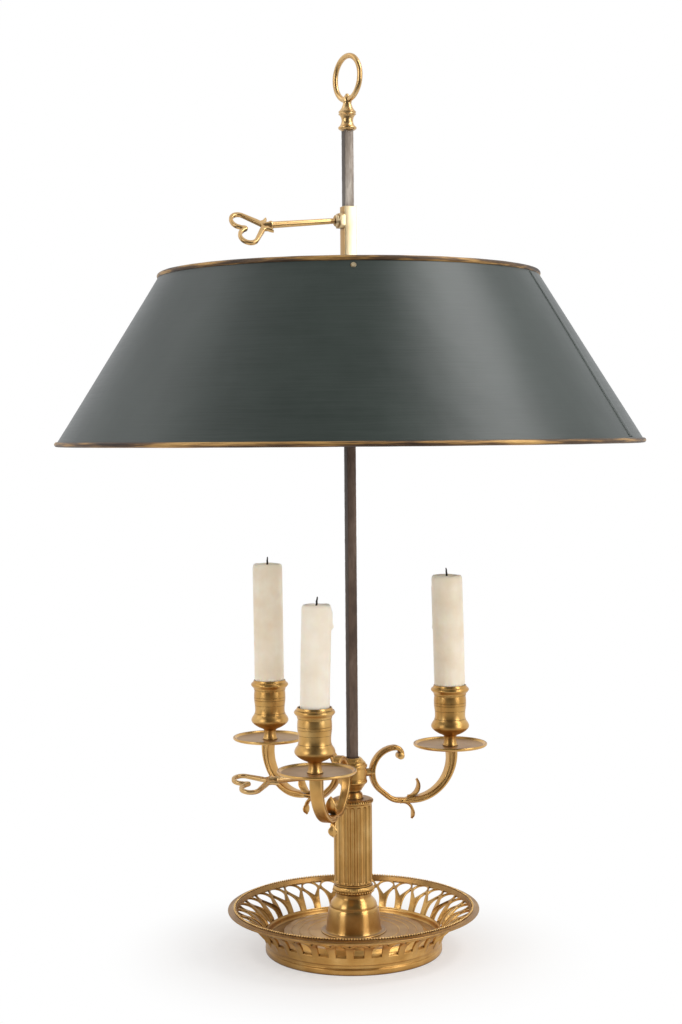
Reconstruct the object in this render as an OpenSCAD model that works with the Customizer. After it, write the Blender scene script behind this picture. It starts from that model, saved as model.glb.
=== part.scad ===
// Bouillotte lamp: a pierced gilt basket, a fluted column, three candle arms and a tole shade,
// both sliding on one square rod. Millimetres, +Z up, origin under the middle of the foot,
// -Y toward the viewer. Azimuths are counter-clockwise from +X, seen from above.

/* [Basket] */
// Radius of the drum that stands on the table.
foot_r = 66.6; // [62:0.2:72]
// Greatest radius of the rim.
rim_r = 94.1; // [92:0.1:98]
// Height of the rim's top.
rim_h = 34.5; // [34:0.1:37]
// Thickness of the cast wall.
basket_wall = 2; // [1.6:0.1:2.4]
// Height of the floor's underside.
floor_z = 12.5; // [12:0.1:13]
// Bays of the pierced gallery.
bays = 33; // [24:1:33]

/* [Column] */
// Radius of the bell's foot.
bell_r = 24.5; // [22:0.5:30]
// Height of the bell socle.
bell_h = 29.1; // [26:0.1:34]
// Radius of the fluted shaft.
column_r = 14.3; // [13.5:0.1:16]
// Height of the fluted column with its neck ring.
column_h = 61.7; // [50:0.5:75]
// Flutes round the shaft.
flutes = 18; // [12:1:20]

/* [Rod] */
// Width across the flats of the square rod.
rod_w = 7; // [6:0.1:7.4]
// Height of the rod's top shoulder.
rod_top = 609.5; // [595:0.5:630]
// Azimuth of one of the rod's four faces.
rod_turn = 22.4; // [0:0.1:45]

/* [Arms] */
// Distance from the axis to the middle of the right pan.
reach_right = 78.5; // [78:0.5:92]
// Distance from the axis to the middle of the rear pan.
reach_back = 87; // [78:0.5:92]
// Distance from the axis to the middle of the front pan.
reach_front = 82.5; // [78:0.5:92]
// Azimuth of the right arm.
azimuth_right = 18; // [10:1:26]
// Azimuth of the rear arm.
azimuth_back = 138; // [130:1:144]
// Azimuth of the front arm.
azimuth_front = 252; // [250:1:262]
// Radius of a drip pan.
pan_r = 28; // [24:0.5:32]

/* [Candles] */
// Height of the right candle's top.
candle_top_right = 279; // [240:1:290]
// Height of the rear candle's top.
candle_top_back = 286; // [240:1:290]
// Height of the front candle's top.
candle_top_front = 267.6; // [240:0.1:290]
// Radius of the right candle.
candle_r_right = 11.5; // [10:0.1:11.8]
// Radius of the rear candle.
candle_r_back = 11.2; // [10:0.1:11.8]
// Radius of the front candle.
candle_r_front = 10.5; // [10:0.1:11.8]

/* [Shade] */
// Radius of the lower wire ring.
shade_bottom_r = 214.5; // [190:0.5:230]
// Radius of the upper wire ring.
shade_top_r = 138.7; // [120:0.5:150]
// Height of the lower wire ring with the shade at rest.
shade_bottom_z = 380.4; // [370:0.1:390]
// Height from the lower wire ring to the upper one.
shade_h = 121.7; // [110:0.1:130]
// Thickness of the painted sheet.
sheet_t = 0.9; // [0.7:0.1:1.2]
// Length of the square clamp sleeve.
sleeve_h = 65.6; // [58:0.1:70]

/* [Keys] */
// Length of a key from the axis to the far end of its heart.
key_reach = 92; // [84:0.5:100]
// Turn of the upper key's heart about its own axis.
shade_key_turn = -43; // [-90:1:90]
// Turn of the lower key's heart about its own axis.
arms_key_turn = -12; // [-90:1:90]

/* [Hidden] */
$fn = 96;
fine_fn = 32;
eps = 0.01;
slide_clear = 0.08;     // rod to the square bores that slide on it
turn_clear = 0.05;      // a key's thread in its bore
fixed_clear = 0.05;     // studs, tenons and tangs that stay put
rest_gap = 0.3;         // between curved faces of pieces that move apart

gilt = [0.80, 0.62, 0.30];
bright = [0.90, 0.76, 0.46];
iron = [0.42, 0.37, 0.33];
green = [0.18, 0.23, 0.21];
wax = [0.93, 0.90, 0.80];
char = [0.08, 0.07, 0.06];

// Basket.
floor_t = 2;
floor_top = floor_z + floor_t;
drum_z = 7.9;                       // where the drum's wall turns into the cove
cove_r = 18;                        // outer face of the cove
dish_slope = 22.5;
cove_c = [foot_r + cove_r - 0.04, drum_z];
dish_start = cove_c + cove_r * [-sin(dish_slope), cos(dish_slope)];
dish_end_r = rim_r - 2.6;
dish_end = [dish_end_r, dish_start[1] + (dish_end_r - dish_start[0]) * tan(dish_slope)];
dish_in = basket_wall * [-sin(dish_slope), cos(dish_slope)];
rim_base = dish_end[1];
gallery_foot = [foot_r - 1.6, floor_top + 0.5];
gallery_slope = 31.8;
cut_h = 11;
post_azimuth = -92.6;
tang_r = 3;

// Column stack.
bore_r = rod_w * 0.7072 + 0.25;
collar_h = 5.7;
cap_h = 3.4;
dome_h = 5.8;
neck_h = 2.2;
bell_z = floor_top;
collar_z = bell_z + bell_h;
column_z = collar_z + collar_h;
cap_z = column_z + column_h;
dome_z = cap_z + cap_h;
flute_azimuth = -91.8;
collar_beads = 45;

// Arm hub.
hub_z = dome_z + dome_h + rest_gap;
hub_h = 24.5;
hub_r = 11;
hub_core = 10.5;
socket_z = hub_z + 12.5;            // tenons and key hole
tenon_r = 3;
tenon_start = hub_core - 3.7;

// Arms, drawn as a section through the arm: [distance from the axis, height above the tenon].
scroll_w = 6.4;
scroll_t = 3.9;
scroll_r = 17.9;
scroll_c = [hub_core + 22.9, -0.6];
curl_r = 5.6;
curl_c = scroll_c + [0, scroll_r - curl_r];
scroll_end = 230;
join_inset = 0.08;
slant_l = 8;
slant_p = scroll_c + scroll_r * [cos(scroll_end), sin(scroll_end)];
slant_dir = scroll_end - 270;
heel_r = 14.7;
heel_p = slant_p + slant_l * [cos(slant_dir), sin(slant_dir)];
heel_c = heel_p + heel_r * [-sin(slant_dir), cos(slant_dir)];
heel_z = heel_c[1] - heel_r;
arm_w = 9;
arm_round = 1.6;
near_reach = 78.5;                  // reach at which the arm has no straight under its scroll
belly_r = 36;
belly_c = [near_reach - 31.4, heel_z + 33.4];
hollow_r = 27.4;
hollow_c = belly_c + [1.5, -3.6];
boss_r = 4.6;
boss_h = 5.8;
pan_z = socket_z + 14.8;
pan_floor = 1.2;
stud_r = 1.95;
stud_l = 5.2;

// Cups and candles.
cup_z = pan_z + pan_floor;
cup_h = 46.5;
socket_floor = cup_z + 17;
socket_low_r = 9.7;
socket_high_r = 9.9;
socket_high = cup_z + 37;
cup_mouth = cup_z + cup_h;
mouth_r = 11.65;
wick_r = 0.7;
wick_up = 5.5;
wick_down = 6;

// Shade.
shade_run = shade_bottom_r - shade_top_r;
shade_lean = atan2(shade_run, shade_h);
shade_slant = sqrt(shade_run * shade_run + shade_h * shade_h);
bottom_wire_r = 1.8;
top_wire_r = 2.1;
seam_azimuth = -26;
seam_w = 5;
spider_z = shade_bottom_z + shade_h - 12.1;
spider_t = 2.2;
spider_w = 7;
spider_azimuths = [-89, 31, 151];
spider_hub_r = 9;
spider_hub_h = 4;
tab_low = (spider_z - shade_bottom_z) / cos(shade_lean);
tab_high = shade_slant - top_wire_r - 0.8;
rivet_s = tab_high - 3;
rivet_r = 1.2;
spider_inner_r = shade_bottom_r - (spider_z + spider_t - shade_bottom_z) * tan(shade_lean);
spider_reach = spider_inner_r - sheet_t - spider_t / 2;

// Clamp sleeve and keys.
sleeve_w = rod_w + 2.3;
sleeve_z = spider_z - 2;
key_drop = 10.6;                    // of the key below the sleeve's top
shade_key_z = sleeve_z + sleeve_h - key_drop;
shade_key_droop = 5.6;
droop_pivot = 8;
shade_heart_bend = 5;
arms_heart_bend = 3;
thread_r = 1.7;
shank_r = [2.1, 2.65];              // of a key, at its thread and at its heart
key_azimuth = rod_turn + 180;
key_tip = rod_w / 2 + slide_clear + 0.15;
thread_end = 14.5;
heart_x = key_reach - 25.5;         // where the heart starts
heart_t = 3;
heart_band = 3;
lobe_r = 6.8;
lobe_y = 8.4;
lobe_x = key_reach - lobe_r - heart_band / 2;
heart_top_y = 1.9;

// Finial and ring.
finial_h = 24.6;
ring_r = 16;
ring_wire = 2;
eye_up = 21.8;                      // the finial's eye above the rod's shoulder
ring_azimuth = -56;
ring_lean = 2;
tip_tang_r = 2.5;
tip_tang_l = 7.5;

// ---------------------------------------------------------------- shared shapes

// A pie slice of a ring, from angle a1 to a2, drawn about the origin.
module ring_sector(r_in, r_out, a1, a2) {
    far = 2 * r_out;
    mid = (a1 + a2) / 2;
    intersection() {
        difference() {
            circle(r_out);
            circle(r_in);
        }
        polygon([[0, 0], far * [cos(a1), sin(a1)], far * [cos(mid), sin(mid)],
            far * [cos(a2), sin(a2)]]);
    }
}

// A rectangle with round corners, centred and drawn smaller all round by inset.
module round_bar(t, w, round_r, inset = 0) {
    half_t = t / 2 - inset;
    half_w = w / 2 - inset;
    square([2 * (half_t - round_r), 2 * half_w], center = true);
    square([2 * half_t, 2 * (half_w - round_r)], center = true);
    for (x = [-1, 1])
        for (y = [-1, 1])
            translate([x * (half_t - round_r), y * (half_w - round_r)])
                circle(round_r, $fn = fine_fn);
}

// The scroll's section: a round bar grooved down both sides.
module scroll_section(inset = 0) {
    difference() {
        round_bar(scroll_t, scroll_w, 1.2, inset);
        for (y = [-1, 1])
            translate([0, y * (scroll_w / 2 - inset)])
                square([1.4 + 2 * inset, 1.4], center = true);
    }
}

// Points along one side, in order of x, followed by the same points on the other side.
function mirrored(half) = concat(half, [for (i = [len(half) - 1:-1:0])
    if (half[i][1] > 0.001) [half[i][0], -half[i][1]]]);

// Its children swept round c in the arm's own plane, from angle a1 to a2.
module plane_arc(c, r, a1, a2) {
    translate([c[0], 0, c[1]])
        rotate([90, 0, 0])
            rotate([0, 0, a1])
                rotate_extrude(angle = a2 - a1)
                    translate([r, 0])
                        children();
}

// Its children swept straight from p along angle a in the arm's own plane.
module plane_bar(p, a, l) {
    translate([p[0], 0, p[1]])
        rotate([0, 90 - a, 0])
            linear_extrude(l)
                children();
}

// A round bar along the key's direction, from distance x1 to x2.
module axle(x1, x2, r1, r2) {
    translate([x1, 0, 0])
        rotate([0, 90, 0])
            cylinder(h = x2 - x1, r1 = r1, r2 = r2);
}

// ---------------------------------------------------------------- basket

module foot_section() {
    polygon([[foot_r - 4.6, 0], [foot_r - 1, 0], [foot_r - 0.4, 0.6], [foot_r - 0.4, 4.2],
        [foot_r - 1.4, 5], [foot_r - 1.4, drum_z - 0.7], [foot_r, drum_z],
        [foot_r - basket_wall, drum_z + eps], [foot_r - 3.6, drum_z - 1.4], [foot_r - 4.6, 5]]);
}

// The rim slopes outward from a ridge on the dish's edge to a thin round lip.
module rim_section() {
    lip = 0.8;
    ridge = 0.8;
    ridge_r = rim_r - 5.5;
    polygon([dish_end - [0.3, 0.12], [rim_r - lip, rim_base + 0.2],
        [rim_r - lip, rim_base + 2 * lip + 0.2], [rim_r - 2.4, rim_base + 1.8],
        [rim_r - 3.7, rim_base + 2.4], [ridge_r + 0.6, rim_h - 1.1], [ridge_r, rim_h - ridge],
        [ridge_r - 0.8, rim_h - 1.4], dish_end + dish_in + [-4.2, -1.9],
        dish_end + dish_in + [-4.2, -2.6]]);
    translate([rim_r - lip, rim_base + lip + 0.2])
        circle(lip, $fn = fine_fn);
    translate([ridge_r, rim_h - ridge])
        circle(ridge, $fn = fine_fn);
}

module basket_section() {
    foot_section();
    translate([tang_r + fixed_clear, floor_z])
        square([foot_r - 1 - tang_r, floor_t]);
    translate(cove_c)
        ring_sector(cove_r, cove_r + basket_wall, 90 + dish_slope, 180);
    polygon([dish_start, dish_end, dish_end + dish_in, dish_start + dish_in]);
    rim_section();
}

// The openings of one bay, as cutters laid on the gallery's slope: x runs up the slope from
// its foot and z through the wall.
module lancet() {
    arch_r = 33.5;
    arch_c = [3.4, 29.75];
    tip = arch_c[0] + sqrt(arch_r * arch_r - arch_c[1] * arch_c[1]);
    steps = 6;
    half = [for (i = [0:steps - 1])
        let (x = tip * sin(90 * i / steps))
            [x, sqrt(arch_r * arch_r - pow(x - arch_c[0], 2)) - arch_c[1]]];
    linear_extrude(cut_h)
        polygon(mirrored(concat(half, [[tip, 0]])));
}

module eye() {
    eye_r = 6;
    eye_c = 20.9;
    point = 10.9;
    tangent = sqrt(pow(eye_c - point, 2) - eye_r * eye_r);
    half = asin(eye_r / (eye_c - point));
    linear_extrude(cut_h) {
        translate([eye_c, 0])
            circle(eye_r, $fn = fine_fn);
        polygon([[point, 0], [point + tangent * cos(half), -tangent * sin(half)], [eye_c, 0],
            [point + tangent * cos(half), tangent * sin(half)]]);
    }
}

module spandrel() {
    linear_extrude(cut_h)
        polygon([[21.2, 0], [26.4, -2.9], [26.4, 2.9]]);
}

module through_slope() {
    translate([gallery_foot[0], 0, gallery_foot[1]])
        rotate([0, -gallery_slope, 0])
            translate([0, 0, -6])
                children();
}

module basket() {
    bay = 360 / bays;
    color(gilt)
        difference() {
            rotate_extrude()
                basket_section();
            for (i = [0:bays - 1])
                rotate([0, 0, post_azimuth + i * bay]) {
                    through_slope()
                        eye();
                    rotate([0, 0, bay / 2])
                        through_slope() {
                            lancet();
                            spandrel();
                        }
                }
            for (r = [36, 44, 52])
                translate([0, 0, floor_top])
                    rotate_extrude()
                        translate([r, 0])
                            square([1, 0.8], center = true);
        }
}

// ---------------------------------------------------------------- column

module turned(points) {
    rotate_extrude()
        polygon(points);
}

module bell_socle() {
    skirt = bell_h - 9;
    foot = bell_r - 3.2;
    color(gilt)
        translate([0, 0, bell_z])
            turned([[bore_r, 0], [bell_r, 0], [bell_r, 0.5], [bell_r - 0.4, 0.8], [foot, 1],
                [foot - 0.5, 2.2], [foot - 1, 5], [foot - 1.4, 8.6], [foot - 1.8, 12],
                [foot - 2.3, skirt - 4.4], [foot - 3, skirt - 2.2], [foot - 3.8, skirt - 1.4],
                [foot - 3.7, skirt - 0.6], [foot - 3.9, skirt + 0.6], [foot - 4.8, skirt + 2.4],
                [foot - 6, skirt + 3.9], [foot - 7.4, skirt + 5.4], [foot - 7.9, skirt + 6.4],
                [foot - 7.9, bell_h], [bore_r, bell_h]]);
}

module column_collar() {
    bead_z = 1.7;
    bead_r = column_r + 0.55;
    color(gilt)
        translate([0, 0, collar_z]) {
            turned([[bore_r, 0], [column_r - 1.6, 0], [column_r - 0.2, 0.6], [bead_r, 1.2],
                [bead_r, 2.2], [column_r + 0.9, 2.8], [column_r + 0.6, 3.9],
                [column_r + 0.4, 5], [column_r + 0.3, collar_h], [bore_r, collar_h]]);
            for (i = [0:collar_beads - 1])
                rotate([0, 0, i * 360 / collar_beads])
                    translate([bead_r, 0, bead_z])
                        sphere(0.9, $fn = 16);
        }
}

module fluted_column() {
    flute_r = 1.75;
    flute_c = column_r + 0.6;
    low = column_z + neck_h + flute_r;
    high = cap_z - 1 - flute_r;
    color(gilt)
        difference() {
            translate([0, 0, column_z])
                turned([[bore_r, 0], [column_r - 0.6, 0], [column_r - 0.6, neck_h - 0.3],
                    [column_r, neck_h], [column_r, column_h], [bore_r, column_h]]);
            for (i = [0:flutes - 1])
                rotate([0, 0, flute_azimuth + i * 360 / flutes])
                    translate([flute_c, 0, 0]) {
                        translate([0, 0, low])
                            cylinder(h = high - low, r = flute_r, $fn = fine_fn);
                        for (z = [low, high])
                            translate([0, 0, z])
                                sphere(flute_r, $fn = fine_fn);
                    }
        }
}

module column_cap() {
    teeth = 52;
    top_r = column_r + 0.9;
    color(gilt)
        difference() {
            translate([0, 0, cap_z])
                turned([[bore_r, 0], [column_r + 0.1, 0], [column_r + 0.7, 0.4],
                    [column_r + 1.05, 1], [column_r + 1.15, 1.8], [top_r, 2.6],
                    [column_r - 0.8, cap_h], [bore_r, cap_h]]);
            for (i = [0:teeth - 1])
                rotate([0, 0, i * 360 / teeth])
                    translate([top_r + 0.4, 0, cap_z + 2.8])
                        rotate([0, -17, 0])
                            cube([2.4, 0.6, 0.9], center = true);
        }
}

module stop_dome() {
    foot = 8;
    color(gilt)
        translate([0, 0, dome_z])
            turned([[bore_r, 0], [foot, 0], [foot, 0.8], [foot - 0.4, 2.6], [foot - 1.2, 4.2],
                [foot - 2.4, 5.3], [bore_r + 0.2, dome_h], [bore_r, dome_h]]);
}

// ---------------------------------------------------------------- rod, its fixings and the ring

module rod() {
    color(iron) {
        translate([0, 0, floor_top])
            rotate([0, 0, rod_turn])
                translate([-rod_w / 2, -rod_w / 2, 0])
                    cube([rod_w, rod_w, rod_top - floor_top]);
        translate([0, 0, floor_z - 8.5])
            cylinder(h = floor_t + 8.5 + eps, r = tang_r);
        translate([0, 0, rod_top - eps])
            cylinder(h = tip_tang_l + eps, r = tip_tang_r);
    }
}

module base_washer() {
    washer_t = 1.5;
    color(iron)
        difference() {
            translate([0, 0, floor_z - washer_t])
                cylinder(h = washer_t, r = 9);
            translate([0, 0, floor_z - washer_t - 1])
                cylinder(h = washer_t + 2, r = tang_r + fixed_clear);
        }
}

module base_nut() {
    nut_t = 5;
    nut_z = floor_z - 1.5 - nut_t;
    color(iron)
        difference() {
            translate([0, 0, nut_z])
                cylinder(h = nut_t, r = 6.4, $fn = 6);
            translate([0, 0, nut_z - 1])
                cylinder(h = nut_t + 2, r = tang_r + fixed_clear);
        }
}

// Children drawn round the ring's middle stand up in the eye, with a little lean.
module place_ring() {
    translate([0, 0, rod_top + eye_up])
        rotate([0, 0, ring_azimuth])
            rotate([90, ring_lean, 0])
                translate([0, ring_r, 0])
                    children();
}

module finial() {
    eye_r = 3.4;
    color(gilt)
        difference() {
            union() {
                translate([0, 0, rod_top])
                    turned([[0, 0], [5.8, 0], [6.7, 0.9], [6.7, 1.9], [5.6, 2.9], [4.7, 4.5],
                        [4.25, 6.7], [4.6, 8.9], [5.6, 10.5], [6.6, 11.9], [6.6, 13.3],
                        [5.4, 14.5], [4.2, 16.1], [3.4, 18.1], [3.05, 20.3], [0, 20.3]]);
                translate([0, 0, rod_top + eye_up])
                    sphere(eye_r, $fn = 48);
            }
            translate([0, 0, rod_top - 1])
                cylinder(h = tip_tang_l + 1.2, r = tip_tang_r + fixed_clear);
            place_ring()
                rotate_extrude()
                    translate([ring_r, 0])
                        circle(ring_wire + fixed_clear, $fn = fine_fn);
        }
}

module lifting_ring() {
    color(gilt)
        place_ring()
            rotate_extrude()
                translate([ring_r, 0])
                    circle(ring_wire, $fn = fine_fn);
}

// ---------------------------------------------------------------- keys

// One half of the heart: a straight from the shank, then three quarters of a lobe.
module heart_half() {
    half_band = heart_band / 2;
    run = [lobe_x - heart_x, lobe_y - heart_top_y];
    dist = norm(run);
    aim = atan2(run[1], run[0]) + asin(lobe_r / dist);
    touch = aim + 90;
    straight_l = sqrt(dist * dist - lobe_r * lobe_r);
    translate([lobe_x, lobe_y])
        ring_sector(lobe_r - half_band, lobe_r + half_band, -72, 34);
    translate([lobe_x, lobe_y])
        ring_sector(lobe_r - half_band, lobe_r + half_band, 32, touch + 0.5);
    translate([heart_x, heart_top_y])
        rotate(aim)
            translate([0, -half_band])
                square([straight_l, heart_band]);
    // horn beside the shank
    polygon([[heart_x + 2, 0], [heart_x + 4, 4.6], [heart_x - 0.5, 4.8], [heart_x - 5.2, 7.5],
        [heart_x - 4.6, 4.4], [heart_x - 2, 2.4], [heart_x - 2, 0]]);
    // spur inside the notch
    polygon([[lobe_x + 3.4, 0], [lobe_x + 2.6, 2.4], [lobe_x + 0.4, 2.5], [lobe_x - 2.8, 1.7],
        [lobe_x - 1.4, 0]]);
}

module heart(turn) {
    rotate([turn, 0, 0])
        translate([0, 0, -heart_t / 2])
            linear_extrude(heart_t) {
                heart_half();
                mirror([0, 1])
                    heart_half();
            }
}

// A key along +X: thread, tapered shank, collar and heart.
module key_shape(turn, bend) {
    axle(key_tip, thread_end + eps, thread_r, thread_r);
    axle(thread_end, heart_x + 0.5, shank_r[0], shank_r[1]);
    axle(heart_x - 6.2, heart_x - 4.4, 3.1, 3.1);
    translate([heart_x - 3.5, 0, 0])
        rotate([0, bend, 0])
            translate([3.5 - heart_x, 0, 0])
                heart(turn);
}

// Children drawn along +X at the rod's axis are brought to the clamp's drooping bore.
module place_shade_key() {
    rotate([0, 0, key_azimuth])
        translate([droop_pivot, 0, shade_key_z])
            rotate([0, shade_key_droop, 0])
                translate([-droop_pivot, 0, 0])
                    children();
}

module place_arms_key() {
    rotate([0, 0, key_azimuth])
        translate([0, 0, socket_z])
            children();
}

module shade_key() {
    color(bright)
        place_shade_key()
            key_shape(shade_key_turn, shade_heart_bend);
}

module arms_key() {
    color(gilt)
        place_arms_key()
            key_shape(arms_key_turn, arms_heart_bend);
}

// ---------------------------------------------------------------- clamp sleeve and shade

module rod_hole(z, h) {
    w = rod_w + 2 * slide_clear;
    translate([0, 0, z - 1])
        rotate([0, 0, rod_turn])
            translate([-w / 2, -w / 2, 0])
                cube([w, w, h + 2]);
}

module clamp_sleeve() {
    face = sleeve_w / 2;
    color(bright)
        difference() {
            union() {
                translate([0, 0, sleeve_z])
                    rotate([0, 0, rod_turn])
                        translate([-face, -face, 0])
                            cube([sleeve_w, sleeve_w, sleeve_h]);
                rotate([0, 0, key_azimuth])
                    translate([0, 0, shade_key_z])
                        rotate([0, 90, 0])
                            turned([[0, face - 0.5], [5.45, face - 0.5], [5.45, face + 3.3],
                                [4.9, face + 3.5], [4.9, face + 3.8], [5.1, face + 4],
                                [5.1, face + 5.3], [4.2, face + 6.1], [0, face + 6.1]]);
            }
            rod_hole(sleeve_z, sleeve_h);
            place_shade_key()
                axle(0, 20, thread_r + turn_clear, thread_r + turn_clear);
        }
}

// Children are drawn in the sheet's own section: x out through the sheet, y up along it.
module along_sheet() {
    translate([shade_bottom_r, shade_bottom_z])
        rotate(shade_lean)
            children();
}

module rivet_places() {
    for (a = spider_azimuths)
        rotate([0, 0, a])
            translate([shade_bottom_r, 0, shade_bottom_z])
                rotate([0, -shade_lean, 0])
                    translate([0, 0, rivet_s])
                        rotate([0, 90, 0])
                            children();
}

module rivet_holes() {
    rivet_places()
        translate([0, 0, -8])
            cylinder(h = 12, r = rivet_r + fixed_clear, $fn = fine_fn);
}

module spider() {
    color(bright)
        difference() {
            union() {
                translate([0, 0, spider_z])
                    cylinder(h = spider_hub_h, r = spider_hub_r);
                for (a = spider_azimuths)
                    rotate([0, 0, a]) {
                        translate([spider_hub_r - 1, -spider_w / 2, spider_z])
                            cube([spider_reach - spider_hub_r + 1, spider_w, spider_t]);
                        tab_turn = atan(spider_w / spider_reach);
                        rotate([0, 0, -tab_turn / 2])
                            rotate_extrude(angle = tab_turn, $fn = 360)
                                along_sheet()
                                    translate([-sheet_t / 2 - spider_t, tab_low])
                                        square([spider_t, tab_high - tab_low]);
                    }
            }
            translate([0, 0, spider_z - 1])
                rotate([0, 0, rod_turn])
                    translate([-sleeve_w / 2, -sleeve_w / 2, 0])
                        cube([sleeve_w, sleeve_w, spider_hub_h + 2]);
            rivet_holes();
        }
}

module shade_cone() {
    seam_turn = seam_w / shade_top_r * 180 / PI;
    color(green)
        difference() {
            union() {
                rotate_extrude($fn = 180)
                    difference() {
                        along_sheet()
                            translate([-sheet_t / 2, 0])
                                square([sheet_t, shade_slant]);
                        wire_sections(fixed_clear);
                    }
                rotate([0, 0, seam_azimuth])
                    rotate_extrude(angle = seam_turn, $fn = 360)
                        along_sheet()
                            translate([sheet_t / 2 - eps, bottom_wire_r + 1])
                                square([sheet_t + eps, shade_slant - bottom_wire_r - top_wire_r - 2]);
            }
            rivet_holes();
        }
}

module wire_sections(grow) {
    along_sheet() {
        circle(bottom_wire_r + grow, $fn = fine_fn);
        translate([0, shade_slant])
            circle(top_wire_r + grow, $fn = fine_fn);
    }
}

module bottom_bead() {
    color(gilt)
        rotate_extrude($fn = 180)
            translate([shade_bottom_r, shade_bottom_z])
                circle(bottom_wire_r, $fn = fine_fn);
}

module top_bead() {
    color(gilt)
        rotate_extrude($fn = 180)
            translate([shade_top_r, shade_bottom_z + shade_h])
                circle(top_wire_r, $fn = fine_fn);
}

module shade_rivets() {
    inside = sheet_t / 2 + spider_t;
    head = 0.9;
    color(bright)
        rivet_places() {
            translate([0, 0, -inside - head])
                cylinder(h = inside + sheet_t / 2 + 2 * head, r = rivet_r, $fn = fine_fn);
            translate([0, 0, -inside - head])
                cylinder(h = head, r = 2, $fn = fine_fn);
            translate([0, 0, sheet_t / 2])
                cylinder(h = head, r1 = 2, r2 = 1.5, $fn = fine_fn);
        }
}

// ---------------------------------------------------------------- arms

module arm_hub() {
    color(gilt)
        difference() {
            translate([0, 0, hub_z])
                turned([[0, 0], [6.8, 0], [7.2, 1], [8.6, 3], [9.7, 4.7], [hub_core, 5.4],
                    [hub_r - 0.1, 5.9], [hub_r, 6.7], [hub_r - 0.2, 7.5], [hub_core, 7.9],
                    [hub_core, 17], [hub_r - 0.2, 17.3], [hub_r, 18.2], [hub_r - 0.1, 19],
                    [hub_core - 0.5, 20], [9.4, 21.2], [8.4, 22.2], [7.6, 23.2],
                    [6.4, hub_h], [0, hub_h]]);
            rod_hole(hub_z, hub_h);
            for (a = [azimuth_right, azimuth_back, azimuth_front])
                rotate([0, 0, a])
                    translate([0, 0, socket_z])
                        axle(tenon_start - 0.1, 2 * hub_r, tenon_r + fixed_clear,
                            tenon_r + fixed_clear);
            place_arms_key()
                axle(0, 2 * hub_r, thread_r + turn_clear, thread_r + turn_clear);
        }
}

// The C scroll with its curled end, down to the heel. Every second length is drawn a hair
// smaller and runs into its neighbours, so that the lengths join.
module scroll() {
    knob_r = 2.8;
    knob_c = curl_c + [curl_r - 1.2, -0.7];
    bite = 0.4;
    plane_arc(curl_c, curl_r, 5, 90 + 2)
        round_bar(scroll_t - 0.6, scroll_w - 0.3, 1.2);
    plane_arc(scroll_c, scroll_r, 90, scroll_end)
        scroll_section();
    plane_bar(slant_p - bite * [cos(slant_dir), sin(slant_dir)], slant_dir, slant_l + 2 * bite)
        scroll_section(join_inset);
    plane_arc(heel_c, heel_r, slant_dir - 90, -90)
        scroll_section();
    translate([knob_c[0], 0, knob_c[1]])
        rotate([90, 0, 0])
            cylinder(h = scroll_w + 0.8, r = knob_r, center = true, $fn = fine_fn);
}

// The main limb: a crescent between two eccentric circles, rounded along both edges.
module limb(shift) {
    half = arm_w / 2;
    mid_c = (belly_c + hollow_c) / 2;
    mid_r = (belly_r + hollow_r) / 2;
    start = heel_c[0] + 4.5;
    translate([shift, 0, 0])
        difference() {
            intersection() {
                plane_arc(belly_c, 0, -180, 180) {
                    translate([0, -half])
                        square([belly_r - arm_round, arm_w]);
                    translate([0, arm_round - half])
                        square([belly_r, arm_w - 2 * arm_round]);
                    for (y = [-1, 1])
                        translate([belly_r - arm_round, y * (half - arm_round)])
                            circle(arm_round, $fn = fine_fn);
                }
                translate([start, -half - 1, heel_z - 10])
                    cube([2 * belly_r, arm_w + 2, 10 - heel_z + belly_c[1]]);
            }
            plane_arc(hollow_c, 0, -180, 180)
                difference() {
                    translate([0, -half - 1])
                        square([hollow_r + arm_round, arm_w + 2]);
                    translate([hollow_r, arm_round - half])
                        square([2 * arm_round, arm_w - 2 * arm_round]);
                    for (y = [-1, 1])
                        translate([hollow_r + arm_round, y * (half - arm_round)])
                            circle(arm_round, $fn = fine_fn);
                }
            for (y = [-1, 1])
                plane_arc(mid_c, mid_r, -88, -8)
                    translate([0, y * half])
                        square([1.8, 1.4], center = true);
        }
}

// The leaf that hangs under the heel: a narrow stem that ends in a round spoon.
module drop_leaf() {
    leaf_c = heel_c + [1.3, -25.2];
    leaf_r = 9;
    leaf_t = 2.4;
    stem_w = 4.4;
    spoon_r = 3.6;
    root = 92;
    tip = -8;
    plane_arc(leaf_c, leaf_r, tip, root)
        round_bar(leaf_t, stem_w, 0.9);
    translate([leaf_c[0], 0, leaf_c[1]])
        rotate([0, -tip, 0])
            translate([leaf_r - leaf_t / 2, 0, 0])
                rotate([0, 90, 0])
                    cylinder(h = leaf_t, r = spoon_r, $fn = fine_fn);
}

// A prism with an oval outline, square to the leaf's middle.
module leaf_prism(c, middle, half_l, half_w) {
    steps = 12;
    half = [for (i = [0:steps])
        let (a = 180 * i / steps)
            [-half_l * cos(a), half_w * sin(a)]];
    translate([c[0], 0, c[1]])
        rotate([0, 90 - middle, 0])
            linear_extrude(4 * half_l)
                polygon(mirrored(half));
}

// The leaf that rises behind the limb, dished on its outer face.
module rising_leaf() {
    leaf_c = heel_c + [6.8, -4.1];
    leaf_r = 8.1;
    leaf_t = 2.2;
    leaf_w = 8.4;
    leaf_half_l = 7.3;
    brim = 1.1;
    middle = -30;
    low = middle - 66;
    high = middle + 66;
    difference() {
        intersection() {
            plane_arc(leaf_c, leaf_r, low, high)
                square([leaf_t, leaf_w], center = true);
            leaf_prism(leaf_c, middle, leaf_half_l, leaf_w / 2);
        }
        intersection() {
            plane_arc(leaf_c, leaf_r + leaf_t / 2, low, high)
                square([1.4, leaf_w], center = true);
            leaf_prism(leaf_c, middle, leaf_half_l - brim, leaf_w / 2 - brim);
        }
    }
}

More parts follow.
